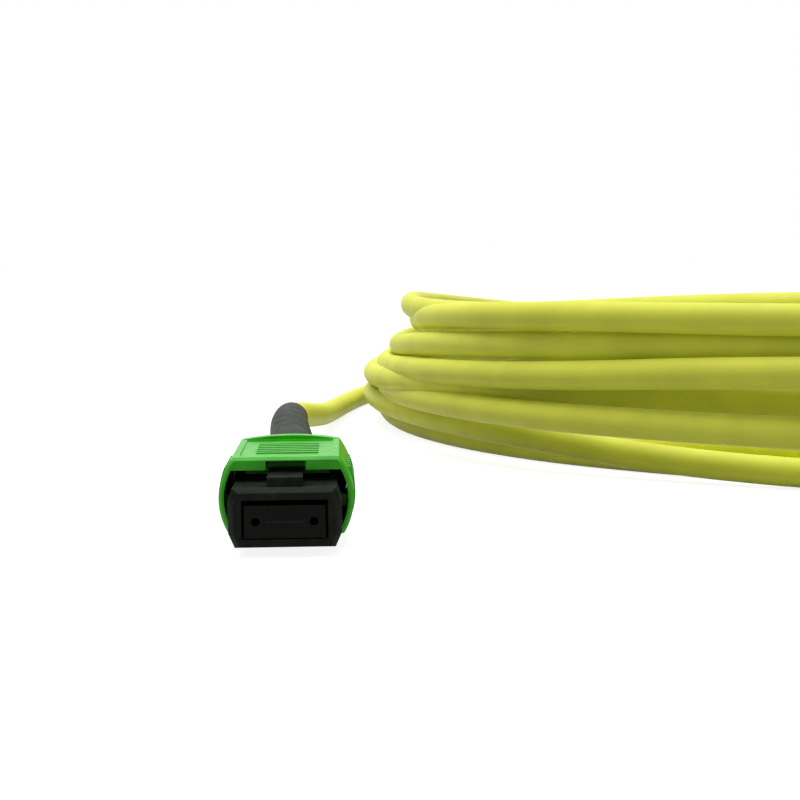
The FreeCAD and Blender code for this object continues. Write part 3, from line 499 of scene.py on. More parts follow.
def boot_rubber(shell):
    """Soft dark rubber, dull, with a fine skin and faint flow marks along it."""
    made = Finish("boot_rubber", Specular_IOR_Level=0.2)
    made.mottle(shell.boot, 0.0035, 0.12)
    made.roughness(0.5, 0.66, 0.0009)
    made.grain(0.00013, 0.000006)
    made.grain(0.0022, 0.000012, 1.0, (1.0, 0.35, 1.0))
    return made.material


def grey_rubber():
    """Soft grey rubber round the fibres behind the ferrule."""
    made = Finish("grey_rubber", Specular_IOR_Level=0.3)
    made.mottle((0.09, 0.09, 0.095), 0.0007, 0.2)
    made.roughness(0.6, 0.75, 0.0005)
    made.grain(0.00008, 0.000004)
    return made.material


def drawn_steel():
    """Spring wire with fine drawing marks."""
    made = Finish("drawn_steel", Metallic=1.0)
    made.mottle((0.58, 0.58, 0.56), 0.0004, 0.12)
    made.roughness(0.2, 0.38, 0.00018)
    made.grain(0.00004, 0.0000012)
    return made.material


def crimped_metal():
    """Dull plated brass, pressed and slightly handled."""
    made = Finish("crimped_metal", Metallic=1.0)
    made.mottle((0.62, 0.56, 0.43), 0.0009, 0.12)
    made.roughness(0.28, 0.46, 0.0004, (1.0, 0.2, 1.0))
    made.grain(0.00006, 0.000003, 2.0, (1.0, 0.25, 1.0))
    return made.material


def aramid_strands():
    """Yellow strength yarn, fine strands along the connector."""
    made = Finish("aramid_strands", Sheen_Weight=0.4, Specular_IOR_Level=0.3)
    strands = made.noise(0.00006, 2.0, (1.0, 0.06, 1.0))
    made.colour(made.tint(strands, [(0.3, (0.30, 0.19, 0.03)), (0.7, (0.72, 0.55, 0.14))]))
    made.roughness(0.55, 0.75, 0.0003)
    made.grain(0.00006, 0.00002, 2.0, (1.0, 0.06, 1.0))
    return made.material


FIBRE_COLOURS = [
    (0.03, 0.12, 0.50),
    (0.80, 0.22, 0.02),
    (0.03, 0.32, 0.08),
    (0.16, 0.06, 0.02),
    (0.25, 0.26, 0.27),
    (0.72, 0.72, 0.70),
    (0.55, 0.02, 0.02),
    (0.02, 0.02, 0.02),
    (0.75, 0.60, 0.03),
    (0.20, 0.06, 0.36),
    (0.78, 0.32, 0.38),
    (0.05, 0.50, 0.52),
]


def coated_fibres():
    """Each fibre of the ribbon in its own coating colour."""
    made = Finish("coated_fibres", Specular_IOR_Level=0.5)
    strand = made.nodes.new("ShaderNodeAttribute")
    strand.attribute_name = "strand"
    stops = [(i / len(FIBRE_COLOURS), colour) for i, colour in enumerate(FIBRE_COLOURS)]
    made.colour(made.tint(strand.outputs["Fac"], stops, constant=True))
    made.roughness(0.25, 0.4, 0.0003)
    made.grain(0.00008, 0.0000015)
    return made.material


def cable_jacket(cable):
    """Smooth extruded jacket, dull, with a faint unevenness and handling marks."""
    made = Finish("cable_jacket", Specular_IOR_Level=0.15, Subsurface_Weight=0.1)
    made.shader.inputs["Subsurface Radius"].default_value = (1.0, 1.0, 0.35)
    made.shader.inputs["Subsurface Scale"].default_value = 0.0006
    made.mottle(cable.jacket, 0.006, 0.05)
    made.roughness(0.46, 0.6, 0.0014)
    made.grain(0.00022, 0.000006)
    made.grain(0.0034, 0.00002, 1.0)
    return made.material


# ---------------------------------------------------------------- shapes


def millimetres(*point):
    """A point given in millimetres, in metres."""
    return Vector(point) * MM


def far(point):
    """A point given in millimetres in the far connector's own frame, in metres in this one."""
    return ENDS["far_"] @ millimetres(*point)


def add_object(name, data):
    made = bpy.data.objects.new(name, data)
    bpy.context.scene.collection.objects.link(made)
    return made


def stand_for(made, body, slot, *nodes):
    """The piece rides on the body and stands for the nodes, which are hidden; the slot is not used.
    """
    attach(made, body)
    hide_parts(*nodes)


def eased(angle, keys):
    """The value at an angle between keyed stations, with no sudden change."""
    for (first, before), (last, after) in zip(keys, keys[1:]):
        if angle <= last:
            share = (angle - first) / (last - first)
            return before + (after - before) * share * share * (3 - 2 * share)
    return keys[-1][1]


def coil_points(cable):
    """Control points of the wound turns, clockwise from the left end where the lead joins."""
    count = cable.points_per_turn
    swell = 1 / math.cos(math.pi / count)  # the curve runs inside its control points
    half = [(size - cable.diameter / 2) * swell for size in cable.half_size]
    points = []
    last_level, last_slump, last_inset = RESTING, 0, 0
    final = len(TURNS) - 1
    for turn, (levels, slumps, insets) in enumerate(TURNS):
        back_slump = (last_slump + slumps[0]) / 2
        back_inset = BACK_INSET * (turn % 2) if turn < final else insets[0]
        level_keys = list(zip(STATIONS, (last_level, *levels)))
        slump_keys = list(zip(STATIONS, (last_slump, back_slump, *slumps)))
        inset_keys = list(zip(STATIONS, (last_inset, back_inset, *insets)))
        for step in range(count):
            angle = 360 * step / count
            if turn == 0 and angle < COIL_STARTS or turn == final and angle > COIL_ENDS:
                continue
            inset = eased(angle, inset_keys) * MM
            across = (half[0] - inset) * math.cos(math.radians(angle))
            along = (half[1] - inset) * math.sin(math.radians(angle))
            forward = eased(angle, slump_keys) * MM
            level = eased(angle, level_keys) * MM
            x, y = cable.centre[0] - across, cable.centre[1] + along - forward
            points.append(Vector((x, y, level)))
        last_level, last_slump, last_inset = levels[-1], slumps[-1], insets[-1]
    return points


def nurbs(name, points):
    """A smooth open curve with these control points."""
    curve = bpy.data.curves.new(name, "CURVE")
    curve.dimensions = "3D"
    curve.resolution_u = 8
    spline = curve.splines.new("NURBS")
    spline.points.add(len(points) - 1)
    for knot, point in zip(spline.points, points):
        knot.co = (*point, 1.0)
    spline.order_u = 3
    spline.use_endpoint_u = True
    return curve


def centreline(curve):
    """The points that a curve with no bevel passes through."""
    bare = curve.copy()
    bare.bevel_depth = 0.0
    bare.resolution_u = 24
    carrier = add_object("centreline", bare)
    bpy.context.view_layer.update()
    graph = bpy.context.evaluated_depsgraph_get()
    mesh = bpy.data.meshes.new_from_object(carrier.evaluated_get(graph))
    points = [vertex.co.copy() for vertex in mesh.vertices]
    bpy.data.objects.remove(carrier)
    bpy.data.meshes.remove(mesh)
    bpy.data.curves.remove(bare)
    return points


def stations_along(line, distances):
    """Where a line is at each distance from its start, and which way it runs there."""
    found = {}
    passed = 0.0
    ahead = sorted(set(distances))
    for here, there in zip(line, line[1:]):
        step = there - here
        while ahead and ahead[0] <= passed + step.length:
            share = (ahead[0] - passed) / step.length
            found[ahead.pop(0)] = (here.lerp(there, share), step.normalized())
        passed += step.length
        if not ahead:
            break
    if ahead:
        raise RuntimeError("the line is shorter than the sleeve on it")
    return [found[distance] for distance in distances]


def closed_mesh(name, points, faces):
    """A mesh of these faces, all turned outwards."""
    mesh = bpy.data.meshes.new(name)
    mesh.from_pydata(points, [], faces)
    shaped = bmesh.new()
    shaped.from_mesh(mesh)
    bmesh.ops.recalc_face_normals(shaped, faces=shaped.faces)
    shaped.to_mesh(mesh)
    shaped.free()
    return mesh


def shade_smooth(mesh):
    for face in mesh.polygons:
        face.use_smooth = True


def sleeve(name, line, profile, sides):
    """A closed round sleeve on a line, its profile going out along the skin and back inside."""
    rings = []
    for (centre, way), (_, radius) in zip(
        stations_along(line, [distance for distance, _ in profile]), profile
    ):
        side = way.cross(Vector((0, 0, 1))).normalized()
        up = side.cross(way)
        rings.append(
            [
                centre + (side * math.cos(turn) + up * math.sin(turn)) * radius
                for turn in (2 * math.pi * i / sides for i in range(sides))
            ]
        )
    count = len(rings)
    faces = [
        (
            ring * sides + i,
            ring * sides + (i + 1) % sides,
            (ring + 1) % count * sides + (i + 1) % sides,
            (ring + 1) % count * sides + i,
        )
        for ring in range(count)
        for i in range(sides)
    ]
    mesh = closed_mesh(name, [point for ring in rings for point in ring], faces)
    shade_smooth(mesh)
    return add_object(name, mesh)


def smoothed_profile(profile, step=0.9):
    """The profile with further stations between its own, so that a sleeve bends smoothly."""
    finer = []
    for (here, radius), (there, after) in zip(profile, profile[1:] + profile[:1]):
        parts = max(1, round(abs(there - here) / step))
        for i in range(parts):
            share = i / parts
            finer.append((here + (there - here) * share, radius + (after - radius) * share))
    return [(distance * MM, radius * MM) for distance, radius in finer]


def widen_top(shaped, place):
    """Take the housing's top further out on each side, so that its two long corners are steep."""
    inner, lower, further = 3.3 * MM, 2.2 * MM, 0.375 * MM
    shaped.transform(place.inverted())
    for corner in shaped.verts:
        if abs(corner.co.x) > inner and corner.co.z > lower:
            corner.co.x += math.copysign(further, corner.co.x)
    shaped.transform(place)


def finished_copy(node, name, body, slot, material, edge):
    """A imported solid's shape as clean faces with its sharp edges broken."""
    shaped = bmesh.new()
    shaped.from_mesh(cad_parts[node].data)
    bmesh.ops.remove_doubles(shaped, verts=shaped.verts, dist=SAME_CORNER)
    if node.endswith("inner_housing"):
        widen_top(shaped, ENDS[node.removesuffix("inner_housing")])
    bmesh.ops.dissolve_limit(shaped, angle_limit=FLAT, verts=shaped.verts, edges=shaped.edges)
    mesh = bpy.data.meshes.new(name)
    shaped.to_mesh(mesh)
    shaped.free()
    mesh.materials.append(material)
    shade_smooth(mesh)
    made = add_object(name, mesh)
    broken = made.modifiers.new("edge_break", "BEVEL")
    broken.width = edge
    broken.segments = 2
    broken.limit_method = "ANGLE"
    broken.angle_limit = SHARP
    broken.use_clamp_overlap = True
    shading = made.modifiers.new("shading", "WEIGHTED_NORMAL")
    shading.keep_sharp = True
    stand_for(made, body, slot, node)


def rear_flange(end, material):
    """The spring push's broad flange, which closes the coupling's bore behind the plug.

    Its sizes are in millimetres in the connector's own frame. Both sides are round, and a notch in
    the top leaves room for the coupling's upper bar when that slides back.
    """
    radius, centre = 5.02, 1.2
    top, notch_floor, low = 3.54, 2.7, -2.22
    notch_half_width = 3.6
    front, back = 17.3, 20.1
    steps = 16
    lift = math.asin((top - centre) / radius)
    drop = math.asin((low - centre) / radius)
    turns = [drop + (lift - drop) * i / steps for i in range(steps + 1)]
    right = [(radius * math.cos(turn), centre + radius * math.sin(turn)) for turn in turns]
    right += [(notch_half_width, top), (notch_half_width, notch_floor)]
    outline = right + [(-x, z) for x, z in reversed(right)]
    count = len(outline)
    points = [ENDS[end] @ millimetres(x, y, z) for y in (front, back) for x, z in outline]
    faces = [tuple(range(count)), tuple(range(2 * count - 1, count - 1, -1))]
    faces += [(i, i + count, (i + 1) % count + count, (i + 1) % count) for i in range(count)]
    mesh = closed_mesh(f"{end}rear_flange", points, faces)
    mesh.materials.append(material)
    return add_object(mesh.name, mesh)


# ---------------------------------------------------------------- node trees


class Tree:
    """A geometry node tree with named inputs."""

    def __init__(self, name, sizes):
        self.group = bpy.data.node_groups.new(name, "GeometryNodeTree")
        self.group.is_modifier = True
        face = self.group.interface
        face.new_socket("Geometry", in_out="INPUT", socket_type="NodeSocketGeometry")
        self.named = {}
        for size, kind in sizes:
            made = face.new_socket(size, in_out="INPUT", socket_type=kind)
            self.named[size] = made.identifier
        face.new_socket("Geometry", in_out="OUTPUT", socket_type="NodeSocketGeometry")
        self.entry = self.add("NodeGroupInput")
        self.exit = self.add("NodeGroupOutput")

    def add(self, kind, operation=None, **values):
        made = self.group.nodes.new(kind)
        if operation:
            made.operation = operation
        for socket, value in values.items():
            made.inputs[socket.replace("_", " ")].default_value = value
        return made

    def join(self, source, target):
        self.group.links.new(source, target)

    def size(self, name):
        return self.entry.outputs[name]

    def outcome(self, node, terms):
        """What a node gives when its inputs are these sockets or numbers."""
        for slot, term in zip(node.inputs, terms):
            if isinstance(term, (int, float)):
                slot.default_value = term
            else:
                self.join(term, slot)
        return node.outputs[0]

    def maths(self, operation, *terms):
        return self.outcome(self.add("ShaderNodeMath", operation), terms)

    def vector(self, x, y, z):
        return self.outcome(self.add("ShaderNodeCombineXYZ"), (x, y, z))

    def end(self, shape):
        """Finish with smooth faces, real geometry and the material."""
        smooth = self.add("GeometryNodeSetShadeSmooth")
        real = self.add("GeometryNodeRealizeInstances")
        coated = self.add("GeometryNodeSetMaterial")
        self.join(shape, smooth.inputs["Geometry"])
        self.join(smooth.outputs["Geometry"], real.inputs["Geometry"])
        self.join(real.outputs["Geometry"], coated.inputs["Geometry"])
        self.join(self.size("Material"), coated.inputs["Material"])
        self.join(coated.outputs["Geometry"], self.exit.inputs["Geometry"])

    def grow(self, name, **values):
        """Run the tree with these sizes and keep the result as a plain mesh object."""
        blank = bpy.data.meshes.new("carrier")
        carrier = add_object("carrier", blank)
        modifier = carrier.modifiers.new("grow", "NODES")
        modifier.node_group = self.group
        for size, value in values.items():
            modifier[self.named[size.replace("_", " ")]] = value
        bpy.context.view_layer.update()
        graph = bpy.context.evaluated_depsgraph_get()
        mesh = bpy.data.meshes.new_from_object(carrier.evaluated_get(graph))
        bpy.data.objects.remove(carrier)
        bpy.data.meshes.remove(blank)
        if not mesh.polygons:
            raise RuntimeError(f"{name} came out empty")
        mesh.name = name
        return add_object(name, mesh)


def spring_tree():
    """A round wire wound along +Y, its end turns closed up, round or stretched sideways."""
    steps_per_turn, wire_sides = 36, 10
    even_share = 0.4  # how much of the climb is even, where the rest is slower at both ends
    tree = Tree(
        "wound_spring",
        [
            ("Place", "NodeSocketVector"),
            ("Turns", "NodeSocketFloat"),
            ("Radius", "NodeSocketFloat"),
            ("Straight", "NodeSocketFloat"),
            ("Length", "NodeSocketFloat"),
            ("Wire", "NodeSocketFloat"),
            ("Material", "NodeSocketMaterial"),
        ],
    )
    spiral = tree.add("GeometryNodeCurveSpiral", Resolution=steps_per_turn, Height=0.0)
    tree.join(tree.size("Turns"), spiral.inputs["Rotations"])
    tree.join(tree.size("Radius"), spiral.inputs["Start Radius"])
    tree.join(tree.size("Radius"), spiral.inputs["End Radius"])
    spot = tree.add("ShaderNodeSeparateXYZ")
    tree.join(tree.add("GeometryNodeInputPosition").outputs["Position"], spot.inputs[0])
    side = tree.maths("SIGN", spot.outputs["X"])
    across = tree.maths(
        "ADD",
        spot.outputs["X"],
        tree.maths("MULTIPLY", side, tree.maths("MULTIPLY", tree.size("Straight"), 0.5)),
    )
    share = tree.add("GeometryNodeSplineParameter").outputs["Factor"]
    climb = tree.add("ShaderNodeMapRange")
    climb.interpolation_type = "SMOOTHSTEP"
    tree.join(share, climb.inputs["Value"])
    wire = tree.maths("MULTIPLY", tree.size("Wire"), 0.5)
    rise = tree.maths("SUBTRACT", tree.size("Length"), tree.size("Wire"))
    steady = tree.maths(
        "ADD",
        tree.maths("MULTIPLY", climb.outputs["Result"], 1 - even_share),
        tree.maths("MULTIPLY", share, even_share),
    )
    along = tree.maths("ADD", tree.maths("MULTIPLY", steady, rise), wire)
    placed = tree.add("GeometryNodeSetPosition")
    tree.join(spiral.outputs["Curve"], placed.inputs["Geometry"])
    tree.join(tree.vector(across, along, spot.outputs["Y"]), placed.inputs["Position"])
    tree.join(tree.size("Place"), placed.inputs["Offset"])
    section = tree.add("GeometryNodeCurvePrimitiveCircle", Resolution=wire_sides)
    tree.join(wire, section.inputs["Radius"])
    swept = tree.add("GeometryNodeCurveToMesh", Fill_Caps=True)
    tree.join(placed.outputs["Geometry"], swept.inputs["Curve"])
    tree.join(section.outputs["Curve"], swept.inputs["Profile Curve"])
    tree.end(swept.outputs["Mesh"])
    return tree


def ribbon_tree():
    """Fibres side by side in a flat row, which gather into a round bundle towards the cable."""
    steps_along, fibre_sides = 36, 8
    tree = Tree(
        "fibre_ribbon",
        [
            ("Count", "NodeSocketInt"),
            ("Pitch", "NodeSocketFloat"),
            ("Start", "NodeSocketFloat"),
            ("Flat End", "NodeSocketFloat"),
            ("End", "NodeSocketFloat"),
            ("Bundle Radius", "NodeSocketFloat"),
            ("Thickness", "NodeSocketFloat"),
            ("Material", "NodeSocketMaterial"),
        ],
    )
    count, pitch = tree.size("Count"), tree.size("Pitch")
    row = tree.add("GeometryNodeMeshLine")
    tree.join(count, row.inputs["Count"])
    middle = tree.maths("MULTIPLY", tree.maths("SUBTRACT", count, 1.0), 0.5)
    first = tree.maths("MULTIPLY", tree.maths("MULTIPLY", middle, pitch), -1.0)
    tree.join(tree.vector(first, 0.0, 0.0), row.inputs["Start Location"])
    tree.join(tree.vector(pitch, 0.0, 0.0), row.inputs["Offset"])
    number = tree.add("GeometryNodeInputIndex").outputs["Index"]
    marked = tree.add("GeometryNodeStoreNamedAttribute", Name="strand")
    marked.data_type = "FLOAT"
    marked.domain = "POINT"
    tree.join(row.outputs["Mesh"], marked.inputs["Geometry"])
    tree.join(
        tree.maths("DIVIDE", tree.maths("ADD", number, 0.5), count),
        marked.inputs["Value"],
    )
    fibre = tree.add("GeometryNodeCurvePrimitiveLine")
    tree.join(tree.vector(0.0, tree.size("Start"), 0.0), fibre.inputs["Start"])
    tree.join(tree.vector(0.0, tree.size("End"), 0.0), fibre.inputs["End"])
    divided = tree.add("GeometryNodeResampleCurve", Count=steps_along)
    tree.join(fibre.outputs["Curve"], divided.inputs["Curve"])
    laid = tree.add("GeometryNodeInstanceOnPoints")
    tree.join(marked.outputs["Geometry"], laid.inputs["Points"])
    tree.join(divided.outputs["Curve"], laid.inputs["Instance"])
    real = tree.add("GeometryNodeRealizeInstances")
    tree.join(laid.outputs["Instances"], real.inputs["Geometry"])
    spot = tree.add("ShaderNodeSeparateXYZ")
    tree.join(tree.add("GeometryNodeInputPosition").outputs["Position"], spot.inputs[0])
    gather = tree.add("ShaderNodeMapRange")
    gather.interpolation_type = "SMOOTHSTEP"
    tree.join(spot.outputs["Y"], gather.inputs["Value"])
    tree.join(tree.size("Flat End"), gather.inputs["From Min"])
    tree.join(tree.size("End"), gather.inputs["From Max"])
    strand = tree.add("GeometryNodeInputNamedAttribute", Name="strand")
    strand.data_type = "FLOAT"
    turn = tree.maths("MULTIPLY", strand.outputs["Attribute"], 2 * math.pi)
    reach = tree.size("Bundle Radius")
    bundle_x = tree.maths("MULTIPLY", tree.maths("COSINE", turn), reach)
    bundle_z = tree.maths("MULTIPLY", tree.maths("SINE", turn), reach)
    share = gather.outputs["Result"]
    shift_x = tree.maths("MULTIPLY", tree.maths("SUBTRACT", bundle_x, spot.outputs["X"]), share)
    shift_z = tree.maths("MULTIPLY", bundle_z, share)
    placed = tree.add("GeometryNodeSetPosition")
    tree.join(real.outputs["Geometry"], placed.inputs["Geometry"])
    tree.join(tree.vector(shift_x, 0.0, shift_z), placed.inputs["Offset"])
    section = tree.add("GeometryNodeCurvePrimitiveCircle", Resolution=fibre_sides)
    tree.join(tree.maths("MULTIPLY", tree.size("Thickness"), 0.5), section.inputs["Radius"])
    swept = tree.add("GeometryNodeCurveToMesh", Fill_Caps=True)
    tree.join(placed.outputs["Geometry"], swept.inputs["Curve"])
    tree.join(section.outputs["Curve"], swept.inputs["Profile Curve"])
    tree.end(swept.outputs["Mesh"])
    return tree


# ---------------------------------------------------------------- floor and surround


def combined(tree, operation, first, second):
    """One step of arithmetic on two sockets of a shader's tree."""
    step = tree.nodes.new("ShaderNodeMath")
    step.operation = operation
    tree.links.new(first, step.inputs[0])
    tree.links.new(second, step.inputs[1])
    return step.outputs[0]


def lights_or_shows(tree, lights, shows, output):
    """One shader for the light sent on to the piece, and one for what is seen.

    Seen is what a ray from the camera meets, or one off or through a glossy or clear surface.
    """
    rays = tree.nodes.new("ShaderNodeLightPath").outputs
    either = combined(tree, "MAXIMUM", rays["Is Camera Ray"], rays["Is Glossy Ray"])
    seen = combined(tree, "MAXIMUM", either, rays["Is Transmission Ray"])
    mix = tree.nodes.new("ShaderNodeMixShader")
    tree.links.new(seen, mix.inputs[0])
    tree.links.new(lights.outputs[0], mix.inputs[1])
    tree.links.new(shows.outputs[0], mix.inputs[2])
    tree.links.new(mix.outputs[0], tree.nodes[output].inputs["Surface"])


def soft_surround(strength):
    """A white backdrop behind the piece and overhead, a dim room in front, and soft grey light."""
    world = bpy.data.worlds.new("surround")
    world.use_nodes = True
    tree = world.node_tree
    lights = tree.nodes["Background"]
    lights.inputs["Color"].default_value = (1, 1, 1, 1)
    lights.inputs["Strength"].default_value = strength
    shows = tree.nodes.new("ShaderNodeBackground")
    shows.inputs["Color"].default_value = (1, 1, 1, 1)
    way = tree.nodes.new("ShaderNodeTexCoord")
    apart = tree.nodes.new("ShaderNodeSeparateXYZ")
    tree.links.new(way.outputs["Generated"], apart.inputs[0])
    room = tree.nodes.new("ShaderNodeMapRange")
    room.interpolation_type = "SMOOTHSTEP"
    room.inputs["From Min"].default_value = ROOM_EDGES[0]
    room.inputs["From Max"].default_value = ROOM_EDGES[1]
    room.inputs["To Min"].default_value = ROOM_BRIGHTNESS
    behind_or_above = combined(tree, "ADD", apart.outputs["Y"], apart.outputs["Z"])
    tree.links.new(behind_or_above, room.inputs["Value"])
    camera_ray = tree.nodes.new("ShaderNodeLightPath").outputs["Is Camera Ray"]
    white = combined(tree, "MAXIMUM", room.outputs["Result"], camera_ray)
    tree.links.new(white, shows.inputs["Strength"])
    lights_or_shows(tree, lights, shows, "World Output")
    return world


def pale_floor():
    """White where it is seen, with the object's shadow, and a quieter grey where it lights."""
    material = bpy.data.materials.new("pale_floor")
    material.use_nodes = True
    tree = material.node_tree
    tree.nodes.remove(tree.nodes["Principled BSDF"])
    lights = tree.nodes.new("ShaderNodeBsdfDiffuse")
    lights.inputs["Color"].default_value = (FLOOR_SENDS, FLOOR_SENDS, FLOOR_SENDS, 1)
    matt = tree.nodes.new("ShaderNodeBsdfDiffuse")
    matt.inputs["Color"].default_value = (FLOOR_SHOWS, FLOOR_SHOWS, FLOOR_SHOWS, 1)
    glow = tree.nodes.new("ShaderNodeEmission")
    glow.inputs["Strength"].default_value = FLOOR_GLOWS
    shows = tree.nodes.new("ShaderNodeAddShader")
    tree.links.new(matt.outputs[0], shows.inputs[0])
    tree.links.new(glow.outputs[0], shows.inputs[1])
    lights_or_shows(tree, lights, shows, "Material Output")
    return material


# ---------------------------------------------------------------- pieces


class FIBRE_OT_stage(bpy.types.Operator):
    """Set the pale floor, the lamp, the surround and the camera"""

    bl_idname = "fibre.stage"
    bl_label = "Stage"

    def execute(self, context):
        stage = context.scene.fibre_stage
        scene = context.scene
        scene.view_settings.view_transform = "Standard"
        camera = bpy.data.cameras.new("camera")
        camera.lens = stage.lens
        camera.sensor_width = 36.0
        camera.clip_start = 0.005
        camera.clip_end = 20.0
        seat = add_object("camera", camera)
        turn = Matrix.Rotation(-stage.camera_yaw, 4, "Z")
        tip = Matrix.Rotation(math.pi / 2 - stage.camera_pitch, 4, "X")
        lean = Matrix.Rotation(-stage.camera_roll, 4, "Z")
        seat.matrix_world = Matrix.Translation(stage.camera_place) @ turn @ tip @ lean
        scene.camera = seat
        scene.world = soft_surround(stage.surround)
        mesh = bpy.data.meshes.new("floor")
        corners = [
            (x * FLOOR_REACH, y * FLOOR_REACH, FLOOR)
            for x, y in ((-1, -1), (1, -1), (1, 1), (-1, 1))
        ]
        mesh.from_pydata(corners, [], [(0, 1, 2, 3)])
        mesh.materials.append(pale_floor())
        add_object("floor", mesh)
        lamp = bpy.data.lights.new("overhead", "SUN")
        lamp.energy = stage.overhead
        lamp.angle = stage.light_spread
        add_object("overhead", lamp).rotation_euler = stage.light_tilt
        return {"FINISHED"}


class FIBRE_OT_cable(bpy.types.Operator):
    """Lay the cable from one connector round the coil to the other, with both boots"""

    bl_idname = "fibre.cable"
    bl_label = "Coiled Cable and Boots"

    def execute(self, context):
        cable = context.scene.fibre_cable
        shell = context.scene.fibre_shell
        points = [millimetres(*point) for point in NEAR_ROUTE]
        points += coil_points(cable)
        points += [far(point) for point in reversed(FAR_ROUTE)]
        curve = nurbs("cable", points)
        curve.bevel_depth = cable.diameter / 2
        curve.bevel_resolution = 6
        curve.use_fill_caps = True
        curve.materials.append(cable_jacket(cable))
        line = centreline(curve)
        made = add_object("cable", curve)
        stand_for(made, "plug", "yellow_jacket", "cable_lead", "cable_coil", "far_cable_lead")
        profile = smoothed_profile(BOOT_PROFILE)
        rubber = boot_rubber(shell)
        near_line = [millimetres(0, BOOT_FRONT, 0)] + line
        far_line = [far((0, BOOT_FRONT, 0))] + line[::-1]
        for name, node, way in (
            ("boot_sleeve", "boot", near_line),
            ("far_boot_sleeve", "far_boot", far_line),
        ):
            boot = sleeve(name, way, profile, shell.boot_sides)
            boot.data.materials.append(rubber)
            stand_for(boot, "plug", "boot_rubber", node)
        return {"FINISHED"}


class FIBRE_OT_shells(bpy.types.Operator):
    """Finish both ends' couplings, inner housings, spring pushes and crimp rings"""

    bl_idname = "fibre.shells"
    bl_label = "Shells and Crimp Rings"

    def execute(self, context):
        shell = context.scene.fibre_shell
        green, black = moulded_green(shell), moulded_black(shell)
        metal = crimped_metal()
        for end in ENDS:
            outer = f"{end}outer_coupling"
            for node, name, body, slot, material in (
                ("coupling", "coupling_moulding", outer, "green_plastic", green),
                ("inner_housing", "housing_moulding", "plug", "black_plastic", black),
                ("spring_push", "push_moulding", "plug", "black_plastic", black),
                ("crimp_ring", "crimp_sleeve", "plug", "crimp_metal", metal),
            ):
                finished_copy(end + node, end + name, body, slot, material, shell.edge)
            flange = rear_flange(end, black)
            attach(flange, "plug")
        return {"FINISHED"}


class FIBRE_OT_ferrules(bpy.types.Operator):
    """Finish the ferrules, the pin keeper, the fibres and the rubber sleeve behind them"""

    bl_idname = "fibre.ferrules"
    bl_label = "Ferrules and Fibres"

    def execute(self, context):
        shell = context.scene.fibre_shell
        resin, black, plain = moulded_resin(), moulded_black(shell), plain_resin()
        for node, name, body, slot, material in (
            ("ferrule", "ferrule_block", "ferrule_group", "ferrule_resin", resin),
            ("far_ferrule", "far_ferrule_block", "far_ferrule_group", "ferrule_resin", plain),
            ("pin_keeper", "keeper_plate", "ferrule_group", "black_plastic", black),
        ):
            finished_copy(node, name, body, slot, material, shell.fine_edge)
        for node, material in (
            ("fibres", polished_glass()),
            ("ferrule_boot", grey_rubber()),
            ("strength_yarn", aramid_strands()),
        ):
            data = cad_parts[node].data
            data.materials.clear()
            data.materials.append(material)
        return {"FINISHED"}


class FIBRE_OT_springs(bpy.types.Operator):
    """Wind the two coupling springs and the oval ferrule spring"""

    bl_idname = "fibre.springs"
    bl_label = "Springs"

    def execute(self, context):
        inner = context.scene.fibre_inner
        tree = spring_tree()
        steel = drawn_steel()
        small = inner.coupling_turns, inner.coupling_wire
        large = inner.ferrule_turns, inner.ferrule_wire
        for node, name, body, (turns, wire), oval in (
            ("coupling_spring_left", "coupling_coil_left", "outer_coupling", small, False),
            ("coupling_spring_right", "coupling_coil_right", "outer_coupling", small, False),
            ("ferrule_spring", "ferrule_coil", "ferrule_group", large, True),
        ):
            low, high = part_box(node)
            middle = (low + high) / 2
            start, end = (middle.x, low.y, middle.z), (middle.x, high.y, middle.z)
            height = high.z - low.z
            made = tree.grow(
                name,
                Place=start,
                Turns=turns,
                Radius=(height - wire) / 2,
                Straight=high.x - low.x - height if oval else 0.0,
                Length=high.y - low.y,
                Wire=wire,
                Material=steel,
            )
            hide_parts(node)
            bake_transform(made)
        return {"FINISHED"}


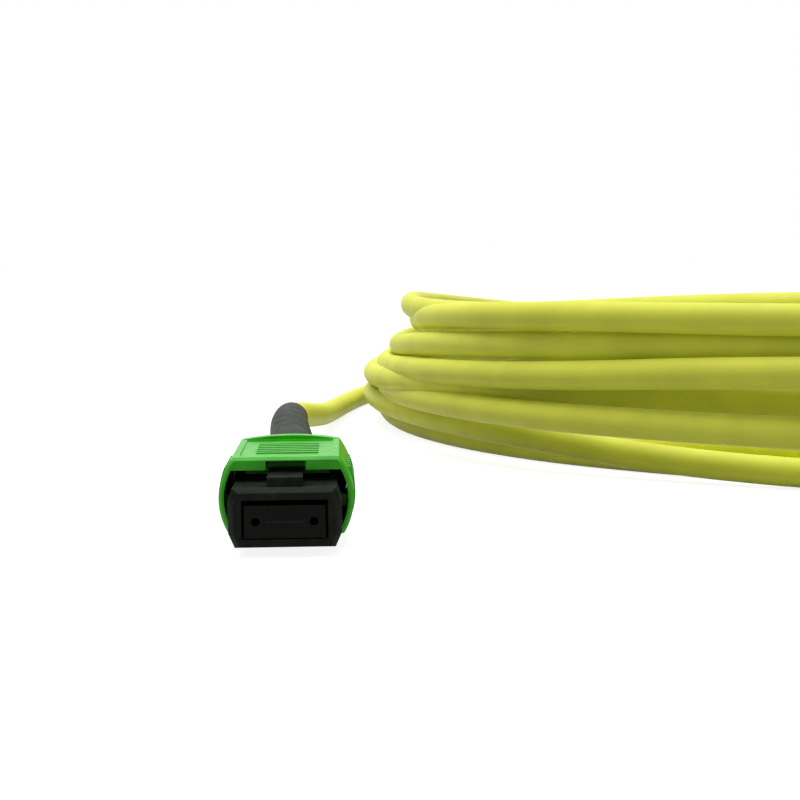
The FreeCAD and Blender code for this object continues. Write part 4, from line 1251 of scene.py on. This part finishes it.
class FIBRE_OT_ribbon(bpy.types.Operator):
    """Lay the coloured fibres from the ferrule to the cable"""

    bl_idname = "fibre.ribbon"
    bl_label = "Fibre Ribbon"

    def execute(self, context):
        inner = context.scene.fibre_inner
        low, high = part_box("fibre_ribbon")
        made = ribbon_tree().grow(
            "coated_ribbon",
            Count=inner.fibre_count,
            Pitch=inner.fibre_pitch,
            Start=low.y,
            Flat_End=low.y + (high.y - low.y) * inner.flat_share,
            End=high.y,
            Bundle_Radius=inner.bundle_radius,
            Thickness=inner.fibre_thickness,
            Material=coated_fibres(),
        )
        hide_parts("fibre_ribbon")
        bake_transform(made)
        return {"FINISHED"}


class FIBRE_OT_far_end(bpy.types.Operator):
    """Takes no step of its own; the far connector's boot, shells and ferrule come from the other
    steps
    """

    bl_idname = "fibre.far_end"
    bl_label = "Far Connector on the Cable"

    def execute(self, context):
        return {"FINISHED"}


class FIBRE_PT_panel(bpy.types.Panel):
    """Lists the settings and the pieces in the order in which they are made"""

    bl_idname = "FIBRE_PT_panel"
    bl_label = "Fibre Connector"
    bl_space_type = "VIEW_3D"
    bl_region_type = "UI"
    bl_category = "Fibre Connector"

    def draw(self, context):
        for settings in SETTINGS:
            group = getattr(context.scene, settings)
            box = self.layout.box()
            for name in group.__annotations__:
                box.prop(group, name)
        for step in STEPS:
            self.layout.operator(step.bl_idname)


STEPS = [
    FIBRE_OT_stage,
    FIBRE_OT_cable,
    FIBRE_OT_shells,
    FIBRE_OT_ferrules,
    FIBRE_OT_springs,
    FIBRE_OT_ribbon,
    FIBRE_OT_far_end,
]
SETTINGS = {
    "fibre_stage": StageSettings,
    "fibre_cable": CableSettings,
    "fibre_shell": ShellSettings,
    "fibre_inner": InnerSettings,
}
CLASSES = [*SETTINGS.values(), *STEPS, FIBRE_PT_panel]


def register():
    for item in CLASSES:
        bpy.utils.register_class(item)
    for name, settings in SETTINGS.items():
        setattr(bpy.types.Scene, name, PointerProperty(type=settings))


def unregister():
    for name in SETTINGS:
        delattr(bpy.types.Scene, name)
    for item in reversed(CLASSES):
        bpy.utils.unregister_class(item)


def main():
    register()
    bpy.ops.fibre.stage()
    bpy.ops.fibre.cable()
    bpy.ops.fibre.shells()
    bpy.ops.fibre.ferrules()
    bpy.ops.fibre.springs()
    bpy.ops.fibre.ribbon()
    bpy.ops.fibre.far_end()


if __name__ == "__main__":
    main()
